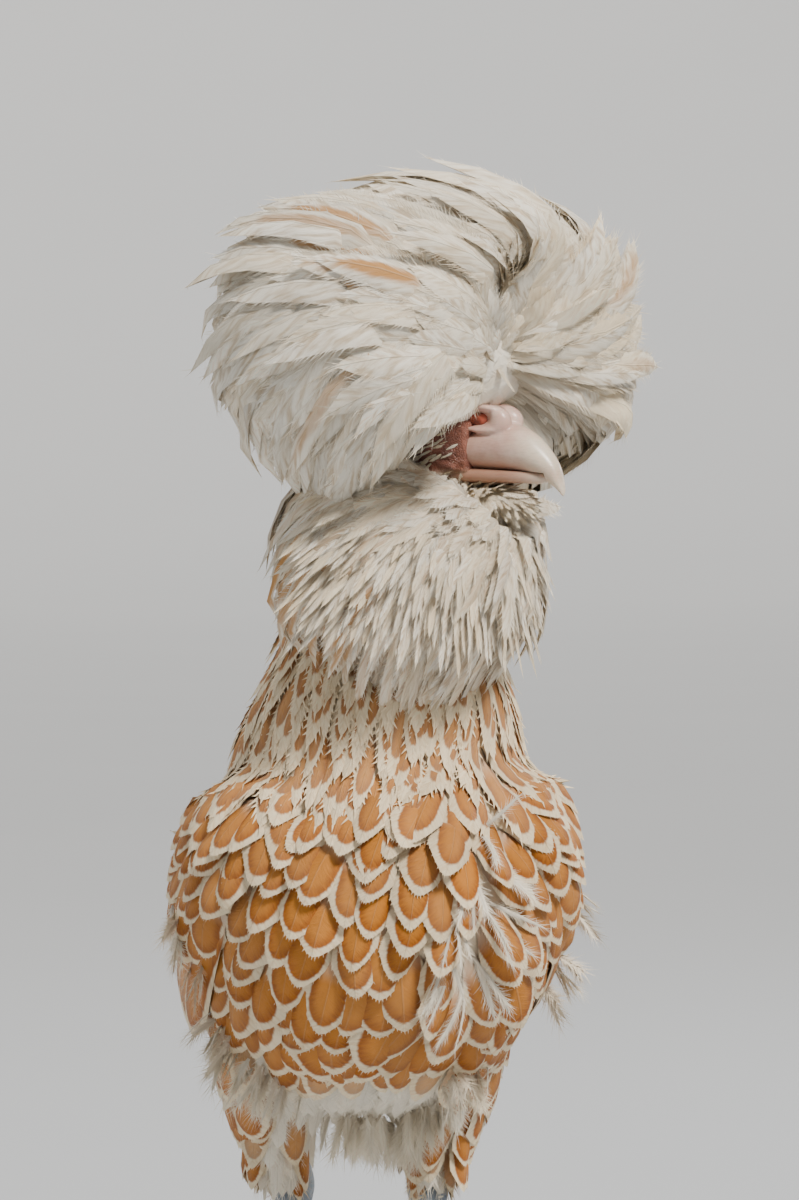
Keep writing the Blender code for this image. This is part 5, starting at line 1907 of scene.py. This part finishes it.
BACKDROP_WAY = (-0.514, 0.857)
FLAT_REACH = 6.0
SWEEP_RADIUS = 3.0
LOOK_AT = Vector((-0.0001, -0.0637, 0.2517))
LIT_PLACE = Vector((0.0, -0.03, 0.24))
SENSOR_WIDTH = 36.0


def placed(name, data, place, way):
    """A light or a camera at a place, looking along a direction."""
    made = bpy.data.objects.new(name, data)
    made.location = place
    made.rotation_mode = "QUATERNION"
    made.rotation_quaternion = way.to_track_quat("-Z", "Y")
    bpy.context.scene.collection.objects.link(made)
    return made


def area_light(name, place, size, power, colour=(1.0, 1.0, 1.0)):
    data = bpy.data.lights.new(name, "AREA")
    data.shape = "DISK"
    data.size, data.energy, data.color = size, power, colour
    placed(name, data, place, LIT_PLACE - Vector(place))


def build_floor(settings):
    """A pale floor that sweeps up behind."""
    bm = bmesh.new()
    profile = [(0.0, 0.0), (2.0, 0.0), (FLAT_REACH, 0.0)]
    for i in range(1, 13):
        angle = math.radians(90.0 * i / 12)
        up = SWEEP_RADIUS * (1.0 - math.cos(angle))
        profile.append((FLAT_REACH + math.sin(angle) * SWEEP_RADIUS, up))
    profile += [(9.0, 4.5), (40.0, 4.6)]
    corners = [bm.verts.new((out, 0.0, z)) for out, z in profile]
    geom = [*corners, *(bm.edges.new(pair) for pair in zip(corners, corners[1:]))]
    turn = {"cent": (0, 0, 0), "axis": UP, "angle": 2.0 * math.pi, "steps": 96}
    bmesh.ops.spin(bm, geom=geom, use_merge=True, **turn)
    for corner in bm.verts:
        x, y = corner.co.xy
        facing = (x * BACKDROP_WAY[0] + y * BACKDROP_WAY[1]) / max(math.hypot(x, y), 1e-6)
        corner.co.z *= eased(facing, -0.10, 0.35)
    bmesh.ops.remove_doubles(bm, verts=bm.verts, dist=1e-5)
    bmesh.ops.recalc_face_normals(bm, faces=bm.faces)
    if sum(face.normal.z for face in bm.faces) < 0.0:
        bmesh.ops.reverse_faces(bm, faces=bm.faces)
    mesh = bpy.data.meshes.new("floor")
    bm.to_mesh(mesh)
    bm.free()
    shown("floor", mesh, floor_finish(settings))


def set_lights(light):
    """A soft sun from the hen's right, with a fill, a top light and a rim light."""
    sun = bpy.data.lights.new("sun", "SUN")
    sun.energy, sun.angle, sun.color = 4.7 * light, math.radians(14.0), (1.0, 0.955, 0.89)
    placed("sun", sun, (0.0, 0.0, 0.0), Vector((-0.48, 0.80, -0.95)))
    area_light("fill", (-1.4, -1.2, 0.6), 1.0, 2.5 * light, (0.88, 0.94, 1.0))
    area_light("top", (-0.35, 0.35, 1.7), 0.7, 10.0 * light)
    area_light("rim", (0.9, 0.9, 0.8), 0.6, 6.0 * light, (0.9, 0.95, 1.0))
    world = bpy.data.worlds.new("studio")
    world.use_nodes = True
    back = world.node_tree.nodes["Background"]
    back.inputs["Color"].default_value = (0.75, 0.80, 0.88, 1.0)
    back.inputs["Strength"].default_value = 0.27 * light
    bpy.context.scene.world = world


def set_camera(settings):
    """The camera, a little above the level of the hen's throat."""
    data = bpy.data.cameras.new("camera")
    data.lens = settings.lens
    data.sensor_width = SENSOR_WIDTH
    rise = math.radians(settings.camera_rise)
    away = Vector((0.0, -math.cos(rise), math.sin(rise)))
    camera = placed("camera", data, LOOK_AT + away * settings.camera_distance, -away)
    bpy.context.scene.camera = camera


def colour_setting(name, description, value):
    texts = {"name": name, "description": description}
    return FloatVectorProperty(**texts, default=value, subtype="COLOR", min=0.0, max=1.0)


def length_setting(name, description, value):
    return FloatProperty(name=name, description=description, default=value, unit="LENGTH")


def number_setting(name, description, value):
    kind = IntProperty if isinstance(value, int) else FloatProperty
    return kind(name=name, description=description, default=value)


class HenSettings(bpy.types.PropertyGroup):
    """Sizes, counts and colours of the hen."""

    coat_depth: length_setting("Coat depth", "How deep the body skin lies under the coat", 0.0042)
    coat_spacing: number_setting("Coat spacing", "Spacing of body feathers, 1 as made", 1.0)
    crest_feathers: number_setting("Crest feathers", "Feathers on a full globe of the outer layer", 1250)
    crest_width: length_setting("Crest width", "Width of a crest feather", 0.0102)
    crest_pole: number_setting("Crest pole", "Rise over the bill of the crest's source, in degrees", -9.0)
    beard_locks: number_setting("Beard locks", "Locks on a full globe of the outer layer", 2000)
    lock_width: length_setting("Lock width", "Width of a beard lock", 0.0060)
    buff: colour_setting("Buff", "Middle of a laced feather", (0.46, 0.142, 0.011))
    buff_deep: colour_setting("Deep buff", "Darkest part of a laced feather", (0.26, 0.064, 0.005))
    buff_light: colour_setting("Light buff", "Middle of the buff, next to the shaft", (0.55, 0.200, 0.024))
    cream: colour_setting("Cream", "Pale lacing", (0.95, 0.79, 0.54))
    # Painted shade of the pale lacing between the barbs; also a mottle of the skin under the coat.
    cream_mottle_and_painted_shade: colour_setting("Cream shade", "Pale lacing between barbs", (0.84, 0.65, 0.40))
    crest_white: colour_setting("Crest white", "Crest and beard", (0.96, 0.90, 0.77))
    # Painted shade of crest and beard between the barbs.
    crest_painted_shade: colour_setting("Crest shade", "Crest and beard between barbs", (0.62, 0.49, 0.34))
    crest_buff: colour_setting("Crest buff", "Buff patches on a few crest feathers", (0.56, 0.27, 0.080))
    # Also the colour of the shade painted toward the base of crest and beard feathers.
    down: colour_setting("Down", "Downy roots of the feathers", (0.90, 0.80, 0.64))
    quill: colour_setting("Quill", "Shafts of the feathers", (0.82, 0.70, 0.50))
    face_red: colour_setting("Face red", "Bare skin of the face", (0.40, 0.15, 0.10))
    face_dark: colour_setting("Face dark", "Folds of the bare skin", (0.13, 0.048, 0.032))
    comb_red: colour_setting("Comb red", "Comb and nostril linings", (0.50, 0.11, 0.06))
    bill_pink: colour_setting("Bill pink", "Bill horn", (0.60, 0.37, 0.30))
    bill_pale: colour_setting("Bill pale", "Paler bill horn", (0.74, 0.55, 0.47))
    bill_ivory: colour_setting("Bill ivory", "Tip of the bill", (0.80, 0.69, 0.54))
    bill_amber: colour_setting("Bill amber", "Lower bill and mouth line", (0.40, 0.22, 0.15))
    iris: colour_setting("Iris", "Iris of the eyes", (0.55, 0.17, 0.04))
    iris_deep: colour_setting("Deep iris", "Rim and rays of the iris", (0.25, 0.06, 0.02))
    leg_slate: colour_setting("Leg slate", "Scales of the legs", (0.15, 0.19, 0.26))
    leg_pale: colour_setting("Leg pale", "Paler scales", (0.36, 0.41, 0.46))
    leg_seam: colour_setting("Leg seam", "Skin between the scales", (0.50, 0.44, 0.38))
    floor: colour_setting("Floor", "Studio floor", (0.47, 0.48, 0.49))
    light: number_setting("Light", "Strength of every studio light", 1.0)
    lens: number_setting("Lens", "Focal length of the camera, in millimetres", 172.8)
    camera_distance: length_setting("Camera distance", "From the camera to its target", 1.6)
    camera_rise: number_setting("Camera rise", "Camera elevation, in degrees", 2.0)


class MakeSkin(bpy.types.Operator):
    """Lay one skin under the coat, and the down behind crest and beard"""

    bl_idname = "hen.skin"
    bl_label = "Skin"

    def execute(self, context):
        build_skin(context.scene.hen)
        build_head_down(context.scene.hen)
        return {"FINISHED"}


class MakeCoat(bpy.types.Operator):
    """Lay the small laced feathers of the body"""

    bl_idname = "hen.coat"
    bl_label = "Body coat"

    def execute(self, context):
        build_coat(context.scene.hen)
        return {"FINISHED"}


class MakeCrest(bpy.types.Operator):
    """Lay the feathers of the crest"""

    bl_idname = "hen.crest"
    bl_label = "Crest"

    def execute(self, context):
        build_crest(context.scene.hen)
        return {"FINISHED"}


class MakeBeard(bpy.types.Operator):
    """Lay the locks of beard and muffs"""

    bl_idname = "hen.beard"
    bl_label = "Beard"

    def execute(self, context):
        build_beard(context.scene.hen)
        return {"FINISHED"}


class MakeWingsAndTail(bpy.types.Operator):
    """Lay the flight feathers, their coverts and the tail"""

    bl_idname = "hen.wings_and_tail"
    bl_label = "Wings and tail"

    def execute(self, context):
        finish = feather_finish("flight_feathers", context.scene.hen, silky=False, root_reach=0.16)
        for side, word in SIDES:
            build_wing(side, word, finish)
        build_tail(finish)
        return {"FINISHED"}


class MakeBill(bpy.types.Operator):
    """Model the bill, its nostril knobs and the small comb"""

    bl_idname = "hen.bill"
    bl_label = "Bill and comb"

    def execute(self, context):
        build_bill(context.scene.hen)
        build_comb(context.scene.hen)
        return {"FINISHED"}


class MakeEyes(bpy.types.Operator):
    """Model both eyes"""

    bl_idname = "hen.eyes"
    bl_label = "Eyes"

    def execute(self, context):
        build_eyes(context.scene.hen)
        return {"FINISHED"}


class MakeLegs(bpy.types.Operator):
    """Model the scaled legs, toes and claws"""

    bl_idname = "hen.legs"
    bl_label = "Legs and claws"

    def execute(self, context):
        scales = scale_finish(context.scene.hen)
        horn = horn_finish("claw_horn", context.scene.hen, 0.0)
        for side, word in SIDES:
            build_leg(side, word, scales)
            build_toes(side, word, scales)
        for (side, word), toe in product(SIDES, TOES):
            build_claw(side, word, *toe, horn)
        return {"FINISHED"}


class MakeStage(bpy.types.Operator):
    """Set the floor, the lights and the camera"""

    bl_idname = "hen.stage"
    bl_label = "Stage"

    def execute(self, context):
        build_floor(context.scene.hen)
        set_lights(context.scene.hen.light)
        set_camera(context.scene.hen)
        return {"FINISHED"}


MAKERS = (MakeSkin, MakeCoat, MakeCrest, MakeBeard, MakeWingsAndTail, MakeBill, MakeEyes, MakeLegs, MakeStage)


class HenPanel(bpy.types.Panel):
    """Lists the steps that dress the hen."""

    bl_idname = "VIEW3D_PT_hen"
    bl_label = "Crested hen"
    bl_space_type = "VIEW_3D"
    bl_region_type = "UI"
    bl_category = "Crested hen"

    def draw(self, context):
        for maker in MAKERS:
            self.layout.operator(maker.bl_idname)
        for name in HenSettings.__annotations__:
            self.layout.prop(context.scene.hen, name)


CLASSES = (HenSettings, *MAKERS, HenPanel)


def register():
    for kind in CLASSES:
        bpy.utils.register_class(kind)
    bpy.types.Scene.hen = PointerProperty(type=HenSettings)


def unregister():
    del bpy.types.Scene.hen
    for kind in reversed(CLASSES):
        bpy.utils.unregister_class(kind)


def main():
    register()
    bpy.ops.hen.skin()
    bpy.ops.hen.coat()
    bpy.ops.hen.crest()
    bpy.ops.hen.beard()
    bpy.ops.hen.wings_and_tail()
    bpy.ops.hen.bill()
    bpy.ops.hen.eyes()
    bpy.ops.hen.legs()
    bpy.ops.hen.stage()


if __name__ == "__main__":
    main()
